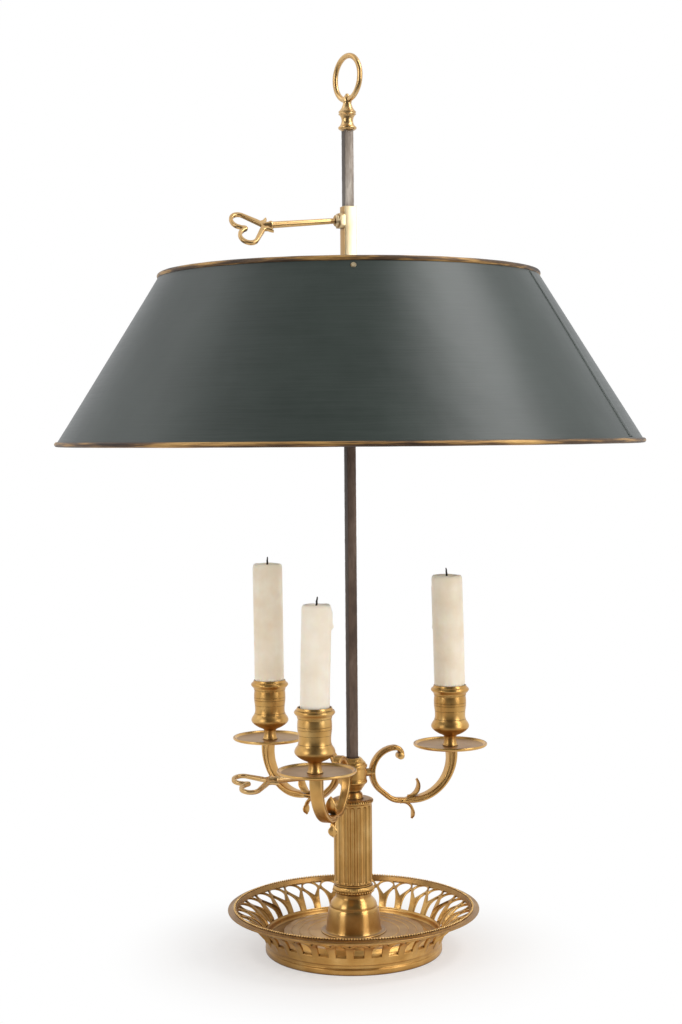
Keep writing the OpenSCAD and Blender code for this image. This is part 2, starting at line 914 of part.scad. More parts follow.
module candle_arm(azimuth, reach) {
    shift = reach - near_reach;
    color(gilt)
        rotate([0, 0, azimuth])
            translate([0, 0, socket_z])
                difference() {
                    union() {
                        axle(tenon_start, scroll_c[0] - scroll_r, tenon_r, tenon_r);
                        scroll();
                        plane_bar([heel_c[0] - 0.4, heel_z], 0, shift + 6.5)
                            scroll_section(join_inset);
                        limb(shift);
                        drop_leaf();
                        rising_leaf();
                        translate([reach, 0, pan_z - socket_z - boss_h])
                            cylinder(h = boss_h, r = boss_r);
                    }
                    translate([reach, 0, pan_z - socket_z - stud_l - 0.3])
                        cylinder(h = stud_l + 2, r = stud_r + fixed_clear, $fn = fine_fn);
                }
}

module drip_pan(azimuth, reach) {
    color(gilt)
        rotate([0, 0, azimuth])
            translate([reach, 0, pan_z])
                turned([[stud_r + fixed_clear, 0], [pan_r - 14, 0], [pan_r - 5, 0.5],
                    [pan_r - 1.6, 1], [pan_r - 0.5, 1.5], [pan_r, 2.2], [pan_r, 3],
                    [pan_r - 0.5, 3.4], [pan_r - 1.3, 3.3], [pan_r - 3.4, 2.7],
                    [pan_r - 8, 1.9], [pan_r - 14, 1.4], [pan_r - 20, pan_floor],
                    [stud_r + fixed_clear, pan_floor]]);
}

module cup_section() {
    low_bead = 15.4;
    high_bead = 42.9;
    polygon([[0, 0], [5.8, 0], [5.8, 0.7], [5, 2.2], [4.6, 5], [4.8, 7.6], [6, 8.4],
        [9.4, 9.9], [12.7, 12.1], [13.4, low_bead], [12.2, 19.2], [11.2, 21.6], [11, 23.6],
        [11.5, 27], [11.9, 31.2], [11.8, 35], [11.4, 38.7], [12.6, 41.2], [12.7, high_bead],
        [12.2, 45.2], [12, cup_h], [0, cup_h]]);
    translate([11.9, low_bead])
        circle(2.6, $fn = fine_fn);
    translate([12.5, high_bead])
        circle(1.65, $fn = fine_fn);
}

module candle_cup(azimuth, reach) {
    color(gilt)
        rotate([0, 0, azimuth])
            translate([reach, 0, 0])
                difference() {
                    union() {
                        translate([0, 0, cup_z])
                            rotate_extrude()
                                cup_section();
                        translate([0, 0, pan_z - stud_l])
                            cylinder(h = stud_l + pan_floor + 1, r = stud_r, $fn = fine_fn);
                    }
                    turned([[0, socket_floor], [socket_low_r, socket_floor],
                        [socket_high_r, socket_high], [mouth_r, cup_mouth],
                        [mouth_r, cup_mouth + 1], [0, cup_mouth + 1]]);
                }
}

module candle(azimuth, reach, top, r) {
    low = socket_low_r - rest_gap;
    high = socket_high_r - rest_gap;
    lip = min(r, mouth_r - rest_gap);
    color(wax)
        rotate([0, 0, azimuth])
            translate([reach, 0, 0])
                turned([[0, socket_floor], [low, socket_floor], [high, socket_high],
                    [lip, cup_mouth], [r, cup_mouth + 0.8], [r, top - 2.4], [r - 0.4, top - 0.9],
                    [r - 1.4, top], [r - 3, top - 0.3], [3.5, top - 1.8],
                    [wick_r + fixed_clear, top - 2.2], [wick_r + fixed_clear, top - wick_down],
                    [0, top - wick_down]]);
}

module wick(azimuth, reach, top) {
    color(char)
        rotate([0, 0, azimuth])
            translate([reach, 0, top - wick_down])
                cylinder(h = wick_down + wick_up, r = wick_r, $fn = fine_fn);
}

// ---------------------------------------------------------------- nodes

basket();
bell_socle();
column_collar();
fluted_column();
column_cap();
stop_dome();
rod();
base_washer();
base_nut();
finial();
lifting_ring();
clamp_sleeve();
spider();
shade_cone();
top_bead();
bottom_bead();
shade_rivets();
shade_key();
arm_hub();
arms_key();
candle_arm(azimuth_right, reach_right);  // arm_right
candle_arm(azimuth_back, reach_back);  // arm_back
candle_arm(azimuth_front, reach_front);  // arm_front
drip_pan(azimuth_right, reach_right);  // pan_right
drip_pan(azimuth_back, reach_back);  // pan_back
drip_pan(azimuth_front, reach_front);  // pan_front
candle_cup(azimuth_right, reach_right);  // cup_right
candle_cup(azimuth_back, reach_back);  // cup_back
candle_cup(azimuth_front, reach_front);  // cup_front
candle(azimuth_right, reach_right, candle_top_right, candle_r_right);  // candle_right
candle(azimuth_back, reach_back, candle_top_back, candle_r_back);  // candle_back
candle(azimuth_front, reach_front, candle_top_front, candle_r_front);  // candle_front
wick(azimuth_right, reach_right, candle_top_right);  // wick_right
wick(azimuth_back, reach_back, candle_top_back);  // wick_back
wick(azimuth_front, reach_front, candle_top_front);  // wick_front
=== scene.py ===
from math import asin, atan2, cos, degrees, hypot, pi, radians, sin, sqrt

import bpy
from mathutils import Matrix, Vector, noise


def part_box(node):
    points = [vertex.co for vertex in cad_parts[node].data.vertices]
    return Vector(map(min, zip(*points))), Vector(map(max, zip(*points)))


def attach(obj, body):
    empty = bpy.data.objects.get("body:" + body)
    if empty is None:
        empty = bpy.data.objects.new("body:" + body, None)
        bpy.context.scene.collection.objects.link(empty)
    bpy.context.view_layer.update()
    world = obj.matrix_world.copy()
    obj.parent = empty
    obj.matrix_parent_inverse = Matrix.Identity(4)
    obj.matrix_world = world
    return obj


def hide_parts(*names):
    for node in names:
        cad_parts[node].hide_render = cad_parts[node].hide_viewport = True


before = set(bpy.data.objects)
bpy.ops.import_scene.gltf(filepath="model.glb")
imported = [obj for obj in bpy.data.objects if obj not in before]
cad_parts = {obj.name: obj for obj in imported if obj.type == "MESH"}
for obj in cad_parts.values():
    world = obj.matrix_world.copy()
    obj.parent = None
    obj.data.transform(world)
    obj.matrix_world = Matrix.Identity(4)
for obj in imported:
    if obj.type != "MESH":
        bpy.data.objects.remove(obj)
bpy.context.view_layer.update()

MM = 0.001

# Camera -------------------------------------------------------------------------------------

CAMERA_AT = Vector((-6.994, -1284.96, 387.81)) * MM
CAMERA_PITCH = 0.0461
CAMERA_ROLL = -0.0082
FOCAL_PX = 1732.78
FRAME_PX = 682

camera = bpy.data.cameras.new("camera")
camera.sensor_fit = "HORIZONTAL"
camera.sensor_width = 36
camera.lens = FOCAL_PX / FRAME_PX * camera.sensor_width
camera.clip_start = 0.05
camera.clip_end = 60
viewer = bpy.data.objects.new("camera", camera)
viewer.matrix_world = (Matrix.Translation(CAMERA_AT) @ Matrix.Rotation(pi / 2 - CAMERA_PITCH, 4, "X")
                       @ Matrix.Rotation(CAMERA_ROLL, 4, "Z"))
bpy.context.scene.collection.objects.link(viewer)
bpy.context.scene.camera = viewer


# Materials ----------------------------------------------------------------------------------

def rgb(red, green, blue):
    """A colour from 0-255 values as they look on screen."""
    def linear(c):
        c /= 255
        return c / 12.92 if c <= 0.04045 else ((c + 0.055) / 1.055) ** 2.4
    return (linear(red), linear(green), linear(blue), 1)


def add_node(tree, kind, inputs=None, **settings):
    """A new node. Its inputs, by name or number, are sockets to link or values to set."""
    node = tree.nodes.new(kind)
    for key, value in settings.items():
        setattr(node, key, value)
    for key, value in (inputs or {}).items():
        if isinstance(value, bpy.types.NodeSocket):
            tree.links.new(value, node.inputs[key])
        else:
            node.inputs[key].default_value = value
    return node


class Shader:
    """A material's node tree, built call by call."""

    def __init__(self, name):
        self.material = bpy.data.materials.new(name)
        self.material.use_nodes = True
        self.tree = self.material.node_tree
        self.tree.nodes.clear()
        self.where = self.add("ShaderNodeTexCoord").outputs["Object"]

    def add(self, kind, inputs=None, **settings):
        return add_node(self.tree, kind, inputs, **settings)

    def part(self, vector, axis):
        return self.add("ShaderNodeSeparateXYZ", {"Vector": vector}).outputs[axis]

    def along(self, axis):
        return self.part(self.where, axis)

    def scaled(self, where, stretch):
        return self.add("ShaderNodeMapping", {"Vector": where, "Scale": stretch}).outputs[0]

    def wrapped(self, stretch):
        """The place as (way round the lamp's axis at radius 0.2 m, radius, height), stretched."""
        x, y = self.along("X"), self.along("Y")
        angle = self.maths("ARCTAN2", x, self.times(y, -1.0))
        radius = self.maths("SQRT", self.maths("ADD", self.times(x, x), self.times(y, y)))
        where = self.add("ShaderNodeCombineXYZ", {"X": self.times(angle, 0.2), "Y": radius,
                                                  "Z": self.along("Z")}).outputs[0]
        return self.scaled(where, stretch)

    def noise(self, size_mm, detail=3, roughness=0.5, stretch=(1, 1, 1), distortion=0, where=None):
        """Noise from 0 to 1 whose blotches are about size_mm across."""
        if where is None:
            where = self.where if stretch == (1, 1, 1) else self.scaled(self.where, stretch)
        return self.add("ShaderNodeTexNoise", {
            "Vector": where, "Scale": 1000 / size_mm, "Detail": detail, "Roughness": roughness,
            "Distortion": distortion}).outputs["Fac"]

    def ramp(self, fac, *stops):
        """A colour ramp through stops of (position, red, green, blue)."""
        node = self.add("ShaderNodeValToRGB", {"Fac": fac})
        elements = node.color_ramp.elements
        while len(elements) < len(stops):
            elements.new(0.5)
        for element, (position, *tone) in zip(elements, stops):
            element.position = position
            element.color = rgb(*tone)
        return node.outputs["Color"]

    def between(self, fac, low, high):
        """fac brought from the range low..high to 0..1."""
        return self.add("ShaderNodeMapRange", {"Value": fac, "From Min": low, "From Max": high},
                        interpolation_type="SMOOTHSTEP").outputs[0]

    def to_range(self, fac, low, high):
        """fac brought from 0..1 to low..high."""
        return self.add("ShaderNodeMapRange", {"Value": fac, "To Min": low, "To Max": high}).outputs[0]

    def mix(self, fac, a, b):
        return self.add("ShaderNodeMix", {0: fac, 6: a, 7: b}, data_type="RGBA").outputs[2]

    def tint(self, colour, tone, fac, share=1.0):
        """colour brought towards tone (red, green, blue) by fac, times share."""
        return self.mix(self.times(fac, share), colour, rgb(*tone))

    def maths(self, operation, a, b=0.0, clamp=False):
        return self.add("ShaderNodeMath", {0: a, 1: b}, operation=operation, use_clamp=clamp).outputs[0]

    def times(self, a, b, clamp=False):
        return self.maths("MULTIPLY", a, b, clamp)

    def less(self, a, b):
        return self.maths("SUBTRACT", a, b)

    def recess(self, distance_mm, low=0.35, high=0.95):
        """1 in corners and hollows, 0 in the open."""
        hidden = self.add("ShaderNodeAmbientOcclusion", {"Distance": distance_mm * MM}, samples=8)
        return self.less(1.0, self.between(hidden.outputs["AO"], low, high))

    def facing(self, axis, sign, low, high):
        """1 on faces turned along the axis (against it with sign -1), 0 on the others."""
        normal = self.add("ShaderNodeNewGeometry").outputs["Normal"]
        return self.between(self.times(self.part(normal, axis), sign), low, high)

    def facing_up(self):
        return self.facing("Z", 1.0, 0.85, 0.99)

    def facing_left(self):
        return self.facing("X", -1.0, 0.5, 0.85)

    def bump(self, height, depth_mm, normal=None):
        inputs = {"Height": height, "Distance": depth_mm * MM, "Strength": 1.0}
        if normal is not None:
            inputs["Normal"] = normal
        return self.add("ShaderNodeBump", inputs).outputs[0]

    def surface(self, **inputs):
        """The finished material, from the Principled shader's inputs with _ for spaces."""
        named = {key.replace("_", " "): value for key, value in inputs.items()}
        shader = self.add("ShaderNodeBsdfPrincipled", named)
        self.add("ShaderNodeOutputMaterial", {"Surface": shader.outputs[0]})
        return self.material


def gilt(name, deep, fair, pale, dirt=(74, 46, 22), dirt_share=0.85, rough=(0.26, 0.42), grain=0.01,
         turned=0.0, cast=0.0, rings=0.0, brushed=0.0, dust_and_reflection=0.0, reflection_on_right=0.0, left=None, painted_left_shade=0.0):
    """Gilt bronze in three tones of gold, with dirt in its hollows and a fine grain.

    turned, cast, rings: how deep its turning lines, cast skin and rings about the lamp's axis are
    brushed: how far its highlights are drawn out across its turning lines
    dust_and_reflection, reflection_on_right: a matte brown cover on what faces up, all over and on the
    lamp's right; all over it is partly a dusty film and partly a painted reflection of the dark room, on
    the right a painted reflection
    left, painted_left_shade: the tone of its faces turned left, and how far the lamp's left side is
    darkened brown; both are painted shade, the light falling from the right
    """
    s = Shader(name)
    fine = s.noise(1.1, 3, 0.6)
    colour = s.ramp(s.noise(16, 3, 0.5), (0.28, *deep), (0.5, *fair), (0.72, *pale))
    colour = s.tint(colour, deep, s.between(fine, 0.35, 0.65), 0.18)
    # Faces turned left take the given tone: painted shade.
    if left:
        colour = s.tint(colour, left, s.facing_left())
    # The lamp's left side is darkened brown: painted shade.
    if painted_left_shade:
        aside = s.between(s.times(s.along("X"), -1.0), 0.01, 0.055)
        colour = s.tint(colour, (96, 66, 36), aside, painted_left_shade)
    hollow = s.times(s.recess(3.5), s.to_range(fine, 0.75, 1.1), clamp=True)
    spots = s.between(s.noise(2.6, 5, 0.7), 0.69, 0.79)
    soil = s.maths("MAXIMUM", s.times(hollow, dirt_share), s.times(spots, 0.2), clamp=True)
    colour = s.tint(colour, dirt, soil)
    roughness = s.to_range(s.noise(4, 3, 0.6), *rough)
    metal = s.less(1.0, s.times(soil, 0.35))
    # A matte brown cover on what faces up: partly a dusty film, partly a painted reflection of the dark
    # room, and on the lamp's right a painted reflection.
    if dust_and_reflection or reflection_on_right:
        cover = s.to_range(s.noise(7, 4), dust_and_reflection * 0.7, dust_and_reflection)
        if reflection_on_right:
            aside = s.between(s.along("X"), 0.0, 0.03)
            cover = s.maths("ADD", cover, s.times(aside, reflection_on_right), clamp=True)
        cover = s.times(s.facing_up(), cover)
        colour = s.tint(colour, (134, 104, 78), cover)
        metal = s.times(metal, s.less(1.0, s.times(cover, 0.55)))
        roughness = s.maths("ADD", roughness, s.times(cover, 0.2))
    normal = s.bump(s.noise(0.5, 2), grain + 0.012 * cast)
    if cast:
        normal = s.bump(s.noise(3.2, 2), 0.1 * cast, normal)
    if turned:
        lines = s.noise(0.55, 2, 0.7, stretch=(0.03, 0.03, 1))
        normal = s.bump(lines, 0.03 * turned, normal)
        roughness = s.maths("ADD", roughness, s.to_range(lines, -0.04, 0.07))
    if rings:
        normal = s.bump(s.noise(1.6, 3, 0.6, where=s.wrapped((0.02, 1, 0))), 0.12 * rings, normal)
    finish = {}
    if brushed:
        around = s.add("ShaderNodeTangent", direction_type="RADIAL", axis="Z").outputs[0]
        finish = {"Tangent": around, "Anisotropic": brushed, "Anisotropic_Rotation": 0.25}
    return s.surface(Base_Color=colour, Metallic=metal, Roughness=roughness, Normal=normal, **finish)


def shade_paint(name):
    s = Shader(name)
    strokes = s.noise(0.9, 4, 0.7, stretch=(0.02, 0.02, 1))
    colour = s.ramp(s.noise(55, 4, 0.55), (0.3, 34, 43, 38), (0.5, 40, 49, 44), (0.7, 46, 55, 50))
    colour = s.tint(colour, (72, 80, 77), s.between(strokes, 0.3, 0.7), 0.16)
    chips = s.between(s.noise(1.7, 5, 0.75), 0.745, 0.775)
    colour = s.tint(colour, (150, 142, 124), chips, 0.75)
    specks = s.between(s.noise(5, 6, 0.8), 0.70, 0.74)
    colour = s.tint(colour, (24, 28, 26), specks, 0.4)
    normal = s.bump(s.noise(38, 2), 0.4, s.bump(strokes, 0.04))
    return s.surface(Base_Color=colour, Roughness=s.to_range(strokes, 0.3, 0.44), Normal=normal,
                     Specular_IOR_Level=0.5)


def bead_gilding(name):
    s = Shader(name)
    worn = s.noise(4, 4, 0.6, where=s.wrapped((0.06, 1, 1)), distortion=0.1)
    colour = s.ramp(worn, (0.36, 50, 36, 26), (0.48, 92, 68, 42), (0.56, 158, 120, 66),
                    (0.66, 196, 156, 92))
    colour = s.tint(colour, (34, 26, 20), s.recess(2.5), 0.8)
    normal = s.bump(s.noise(1.2, 4, 0.7), 0.12)
    return s.surface(Base_Color=colour, Metallic=0.35, Roughness=s.to_range(worn, 0.55, 0.36),
                     Normal=normal)


def rod_iron(name):
    s = Shader(name)
    grain = s.noise(1.4, 5, 0.7, stretch=(1, 1, 0.12))
    patch = s.noise(16, 4, 0.6, stretch=(1, 1, 0.45))
    low = s.ramp(patch, (0.35, 88, 70, 58), (0.5, 108, 88, 74), (0.68, 130, 110, 96))
    high = s.ramp(patch, (0.35, 128, 116, 104), (0.5, 164, 152, 140), (0.68, 200, 190, 178))
    # Darker and browner low on the rod, paler and greyer from about the shade's top upwards.
    colour = s.mix(s.between(s.along("Z"), 0.48, 0.56), low, high)
    colour = s.tint(colour, (62, 50, 44), s.between(grain, 0.35, 0.7), 0.4)
    colour = s.tint(colour, (38, 28, 24), s.recess(3), 0.7)
    # Faces turned left darkened: painted shade.
    colour = s.tint(colour, (44, 34, 30), s.facing_left(), 0.7)
    return s.surface(Base_Color=colour, Metallic=0.55, Roughness=s.to_range(grain, 0.38, 0.58),
                     Normal=s.bump(grain, 0.12))


def fixing_iron(name):
    s = Shader(name)
    rust = s.noise(4, 5, 0.7)
    colour = s.ramp(rust, (0.4, 70, 62, 56), (0.56, 92, 78, 66), (0.7, 116, 72, 44))
    normal = s.bump(s.noise(0.9, 4, 0.7), 0.14)
    return s.surface(Base_Color=colour, Metallic=0.6, Roughness=s.to_range(rust, 0.4, 0.75), Normal=normal)


def candle_wax(name, deep, fair):
    s = Shader(name)
    colour = s.ramp(s.noise(14, 3, 0.5), (0.3, *deep), (0.7, *fair))
    streak = s.noise(2.5, 3, 0.5, stretch=(1, 1, 0.06))
    colour = s.tint(colour, deep, s.between(streak, 0.4, 0.7), 0.2)
    colour = s.tint(colour, (196, 170, 128), s.recess(5, 0.2, 0.9), 0.25)
    normal = s.bump(s.noise(0.8, 2), 0.012, s.bump(s.noise(6, 2), 0.22))
    return s.surface(Base_Color=colour, Roughness=0.42, Normal=normal, Subsurface_Weight=0.28,
                     Subsurface_Radius=(1.0, 0.62, 0.36), Subsurface_Scale=0.006)


def wick_char(name):
    s = Shader(name)
    strand = s.noise(0.8, 4, 0.7)
    colour = s.ramp(strand, (0.35, 16, 13, 12), (0.65, 46, 39, 34))
    return s.surface(Base_Color=colour, Roughness=0.92, Normal=s.bump(strand, 0.2))


GILT_TURNED = gilt("gilt_turned", (196, 148, 82), (211, 165, 96), (224, 184, 117), rough=(0.3, 0.42),
                   turned=0.8, brushed=0.5)
GILT_BELL = gilt("gilt_bell", (186, 142, 80), (204, 161, 96), (218, 177, 112), rough=(0.26, 0.32),
                 grain=0.001, turned=0.3, brushed=0.85, dust_and_reflection=0.75)
GILT_RIM = gilt("gilt_rim", (152, 114, 66), (170, 130, 78), (190, 150, 94), rough=(0.3, 0.4),
                turned=0.5, cast=0.3, painted_left_shade=0.3)
GILT_BEADS = gilt("gilt_beads", (214, 172, 108), (230, 190, 126), (240, 204, 142), rough=(0.3, 0.4),
                  grain=0.0, dirt_share=0.1)
GILT_CAST = gilt("gilt_cast", (194, 146, 84), (212, 166, 98), (228, 186, 120), rough=(0.32, 0.44),
                 cast=0.8)
GILT_SMOOTH = gilt("gilt_smooth", (200, 160, 104), (214, 176, 120), (226, 190, 136), rough=(0.26, 0.34),
                   grain=0.001, dirt_share=0.6)
GILT_DISH = gilt("gilt_dish", (184, 136, 74), (206, 160, 92), (226, 184, 116), rough=(0.26, 0.4),
                 turned=0.4, cast=0.6, rings=1.0, dust_and_reflection=0.15, reflection_on_right=0.35, painted_left_shade=0.55)
GILT_PAN = gilt("gilt_pan", (206, 158, 90), (221, 175, 104), (234, 194, 126), rough=(0.24, 0.34),
                grain=0.004, turned=0.8, dust_and_reflection=0.65)
GILT_COLUMN = gilt("gilt_column", (186, 140, 76), (208, 162, 94), (226, 184, 118), rough=(0.28, 0.4),
                   cast=0.4, dust_and_reflection=0.6)
# Brass paler than the gilt: partly its own pale tone, partly a painted highlight on its lit faces; faces
# turned left take a gold-brown tone as painted shade.
PALE_BRASS_AND_HIGHLIGHT = gilt("pale_brass_and_highlight", (220, 196, 152), (236, 216, 178), (246, 232, 204), rough=(0.26, 0.4),
                  dirt=(92, 66, 36), dirt_share=0.7, cast=0.4, left=(186, 146, 88))
SHADE_PAINT = shade_paint("shade_paint_tole")
BEAD_GILDING = bead_gilding("bead_gilding_worn")
ROD_IRON = rod_iron("rod_iron_aged")
FIXING_IRON = fixing_iron("fixing_iron_rough")
WAX_FRONT = candle_wax("wax_front", (240, 228, 208), (249, 240, 224))
WAX_SIDE = candle_wax("wax_side", (238, 222, 196), (248, 238, 218))
WICK_CHAR = wick_char("wick_char")


# Mesh helpers, in millimetres ---------------------------------------------------------------

class Build:
    """Points and faces of one piece, gathered from its parts."""

    def __init__(self):
        self.points = []
        self.faces = []

    def add(self, points, faces, place=None):
        first = len(self.points)
        self.points += [tuple(place @ Vector(p)) for p in points] if place else [tuple(p) for p in points]
        self.faces += [tuple(first + i for i in face) for face in faces]
        return self


def piece(name, build, material, body, replaces=(), sharp=38):
    mesh = bpy.data.meshes.new(name)
    mesh.from_pydata([(x * MM, y * MM, z * MM) for x, y, z in build.points], [], build.faces)
    mesh.materials.append(material)
    mesh.shade_smooth()
    mesh.set_sharp_from_angle(angle=radians(sharp))
    thing = bpy.data.objects.new(name, mesh)
    bpy.context.scene.collection.objects.link(thing)
    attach(thing, body)
    if replaces:
        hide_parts(*replaces)


def soften(points, reach=0.3):
    """A closed outline with its corners rounded, apart from slight turns and points on the axis."""
    steps, least = 3, 14
    out = []
    count = len(points)
    for i in range(count):
        a, b, c = (Vector(points[(i + k) % count][:2]) for k in (-1, 0, 1))
        before, after = a - b, c - b
        if before.length < 1e-6 or after.length < 1e-6:
            out.append(tuple(b))
            continue
        turn = 180 - degrees(before.angle(after))
        on_axis = b.x < 1e-6
        if turn < least or on_axis:
            out.append(tuple(b))
            continue
        cut = min(reach, 0.42 * before.length, 0.42 * after.length)
        p, q = b + before.normalized() * cut, b + after.normalized() * cut
        for k in range(steps + 1):
            t = k / steps
            out.append(tuple(p * (1 - t) ** 2 + b * 2 * t * (1 - t) + q * t * t))
    return out


def flowing(points, steps=4):
    """A closed outline through points; those marked (x, y, 1) stay corners."""
    count = len(points)
    corner = [len(p) > 2 for p in points]
    out = []
    for i in range(count):
        j = (i + 1) % count
        a, b = Vector(points[i][:2]), Vector(points[j][:2])
        out.append(tuple(a))
        if corner[i] and corner[j]:
            continue
        start = b - a if corner[i] else (b - Vector(points[i - 1][:2])) / 2
        end = b - a if corner[j] else (Vector(points[(j + 1) % count][:2]) - a) / 2
        for k in range(1, steps):
            t = k / steps
            out.append(tuple(a * (2 * t ** 3 - 3 * t * t + 1) + start * (t ** 3 - 2 * t * t + t)
                             + b * (3 * t * t - 2 * t ** 3) + end * (t ** 3 - t * t)))
    return out


def smooth(t):
    t = max(0.0, min(1.0, t))
    return t * t * (3 - 2 * t)


def arc_path(c, r, a1, a2, steps):
    """Points along an arc, each with its outward normal: (p, q, nx, nq)."""
    angles = [radians(a1 + (a2 - a1) * k / steps) for k in range(steps + 1)]
    return [(c[0] + r * cos(a), c[1] + r * sin(a), cos(a), sin(a)) for a in angles]


def circle_points(c, r, a1, a2, steps):
    return [station[:2] for station in arc_path(c, r, a1, a2, steps)]


def lathe(outline, around=96, warp=None, closed=True):
    """The outline turned about Z. around is a count or a list of angles in radians."""
    angles = [2 * pi * k / around for k in range(around)] if isinstance(around, int) else around
    points, rows = [], []
    for r, z in outline:
        if r < 1e-6:
            rows.append([len(points)] * len(angles))
            points.append((0, 0, z))
            continue
        rows.append(list(range(len(points), len(points) + len(angles))))
        for a in angles:
            rr, zz = warp(a, r, z) if warp else (r, z)
            points.append((rr * cos(a), rr * sin(a), zz))
    faces = []
    for i in range(len(rows) if closed else len(rows) - 1):
        low, high = rows[i], rows[(i + 1) % len(rows)]
        for k in range(len(angles)):
            n = (k + 1) % len(angles)
            face = list(dict.fromkeys((low[k], low[n], high[n], high[k])))
            if len(face) > 2:
                faces.append(face)
    return points, faces


def bead_row(build, count, r, z, bead, around, rows):
    """Balls of radius bead, all round the axis."""
    outline = [(bead * sin(pi * k / rows), -bead * cos(pi * k / rows)) for k in range(rows + 1)]
    outline[0], outline[-1] = (0, outline[0][1]), (0, outline[-1][1])
    points, faces = lathe(outline, around, closed=False)
    for k in range(count):
        a = 2 * pi * k / count
        build.add(points, faces, Matrix.Translation((r * cos(a), r * sin(a), z)))
    return build


def tube(stations, ends=True):
    """Rings of points joined one to the next, with flat ends."""
    points = [p for ring in stations for p in ring]
    n = len(stations[0])
    faces = [(s * n + k, s * n + (k + 1) % n, (s + 1) * n + (k + 1) % n, (s + 1) * n + k)
             for s in range(len(stations) - 1) for k in range(n)]
    if ends:
        faces += [tuple(reversed(range(n))), tuple((len(stations) - 1) * n + k for k in range(n))]
    return points, faces


def bar_section(t, w, edge, groove=0.0, depth=0.0):
    """A bar's section as (across the thickness, across the width), grooved down its sides."""
    half_t, half_w = t / 2, w / 2
    corner = [(half_t - edge + edge * sin(radians(a)), half_w - edge + edge * cos(radians(a)))
              for a in (90, 68, 45, 22, 0)]
    side = [(half_t, 0), *corner]
    if groove:
        g = min(groove / 2, half_t - edge - 0.05)
        side += [(g + 0.08, half_w), (g * 0.72, half_w - depth * 0.7), (0, half_w - depth)]
    else:
        side += [((half_t - edge) * 0.4, half_w), ((half_t - edge) * 0.2, half_w), (0, half_w)]
    top = side + [(-n, y) for n, y in reversed(side[:-1])]
    return top + [(n, -y) for n, y in reversed(top[1:-1])]


def swept(stations, section):
    """A bar through stations (p, q, nx, nq, t, w): p along X, q up, the normal, thickness, width.

    section(t, w) gives (across the thickness, across the width).
    """
    return tube([[(p + n * nx, y, q + n * nq) for n, y in section(t, w)]
                 for p, q, nx, nq, t, w in stations])


def flat_shape(name, outlines, thickness, bevel, resolution=2):
    """A plate cut to outlines (the outer first) with its edges rounded, as points and faces."""
    curve = bpy.data.curves.new(name, "CURVE")
    curve.dimensions = "2D"
    curve.fill_mode = "BOTH"
    curve.extrude = thickness / 2 - bevel
    curve.bevel_depth = bevel
    curve.bevel_resolution = resolution
    curve.offset = -bevel
    for outline in outlines:
        spline = curve.splines.new("POLY")
        spline.points.add(len(outline) - 1)
        for point, (x, y) in zip(spline.points, outline):
            point.co = (x, y, 0, 1)
        spline.use_cyclic_u = True
    thing = bpy.data.objects.new(name, curve)
    bpy.context.scene.collection.objects.link(thing)
    bpy.context.view_layer.update()
    mesh = bpy.data.meshes.new_from_object(thing.evaluated_get(bpy.context.evaluated_depsgraph_get()))
    points = [tuple(v.co) for v in mesh.vertices]
    faces = [tuple(f.vertices) for f in mesh.polygons]
    bpy.data.objects.remove(thing)
    bpy.data.meshes.remove(mesh)
    seen, index, kept = {}, [], []
    for p in points:
        key = tuple(round(c, 4) for c in p)
        if key not in seen:
            seen[key] = len(kept)
            kept.append(p)
        index.append(seen[key])
    merged = [list(dict.fromkeys(index[i] for i in face)) for face in faces]
    return kept, [face for face in merged if len(face) > 2]


def node_foot(node):
    """Centre on plan and height of the foot of a CAD node, in millimetres."""
    low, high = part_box(node)
    low, high = low / MM, high / MM
    return (low.x + high.x) / 2, (low.y + high.y) / 2, low.z


def turned(name, node, outline, material, body, slot, around=96, warp=None, reach=0.3):
    """A turned piece in the place of a CAD node: outline heights start at the node's foot."""
    place = Matrix.Translation(node_foot(node))
    build = Build().add(*lathe(soften(outline, reach), around, warp), place)
    piece(name, build, material, body, [node])


# Basket -------------------------------------------------------------------------------------

FLOOR_LOW, FLOOR_TOP = 12.5, 14.5
BAYS = 33
COVE_C = (84.56, 7.9)
COVE_IN, COVE_OUT = 18.0, 20.0
DISH_SLOPE = 22.5
GALLERY_FOOT, GALLERY_SLOPE = (65.0, 15.0), 31.8
POST_AZIMUTH = radians(-92.7)


def gallery_line():
    """The middle of the pierced wall, from its foot up: (x along the slope, r, z, outward normal)."""
    cove = arc_path(COVE_C, (COVE_IN + COVE_OUT) / 2, 174, 90 + DISH_SLOPE, 41)
    line = [(r, z, -nr, -nz) for r, z, nr, nz in cove]
    r, z = line[-1][:2]
    slope = radians(DISH_SLOPE)
    for k in range(1, 12):
        line.append((r + 1.5 * k * cos(slope), z + 1.5 * k * sin(slope), sin(slope), -cos(slope)))
    up = radians(GALLERY_SLOPE)
    return [((r - GALLERY_FOOT[0]) * cos(up) + (z - GALLERY_FOOT[1]) * sin(up), r, z, nr, nz)
            for r, z, nr, nz in line]


def skew(azimuth, x):
    """The right side of the gallery: its lancets lean away from their eyes."""
    side = max(0.0, cos(azimuth - radians(25))) ** 2
    return side * radians(0.6 - 2.6 * (1 - smooth((x - 2) / 18)))


GALLERY = gallery_line()


def on_gallery(x):
    for a, b in zip(GALLERY, GALLERY[1:]):
        if x <= b[0]:
            break
    t = (x - a[0]) / (b[0] - a[0])
    return [u + (v - u) * t for u, v in zip(a[1:], b[1:])]


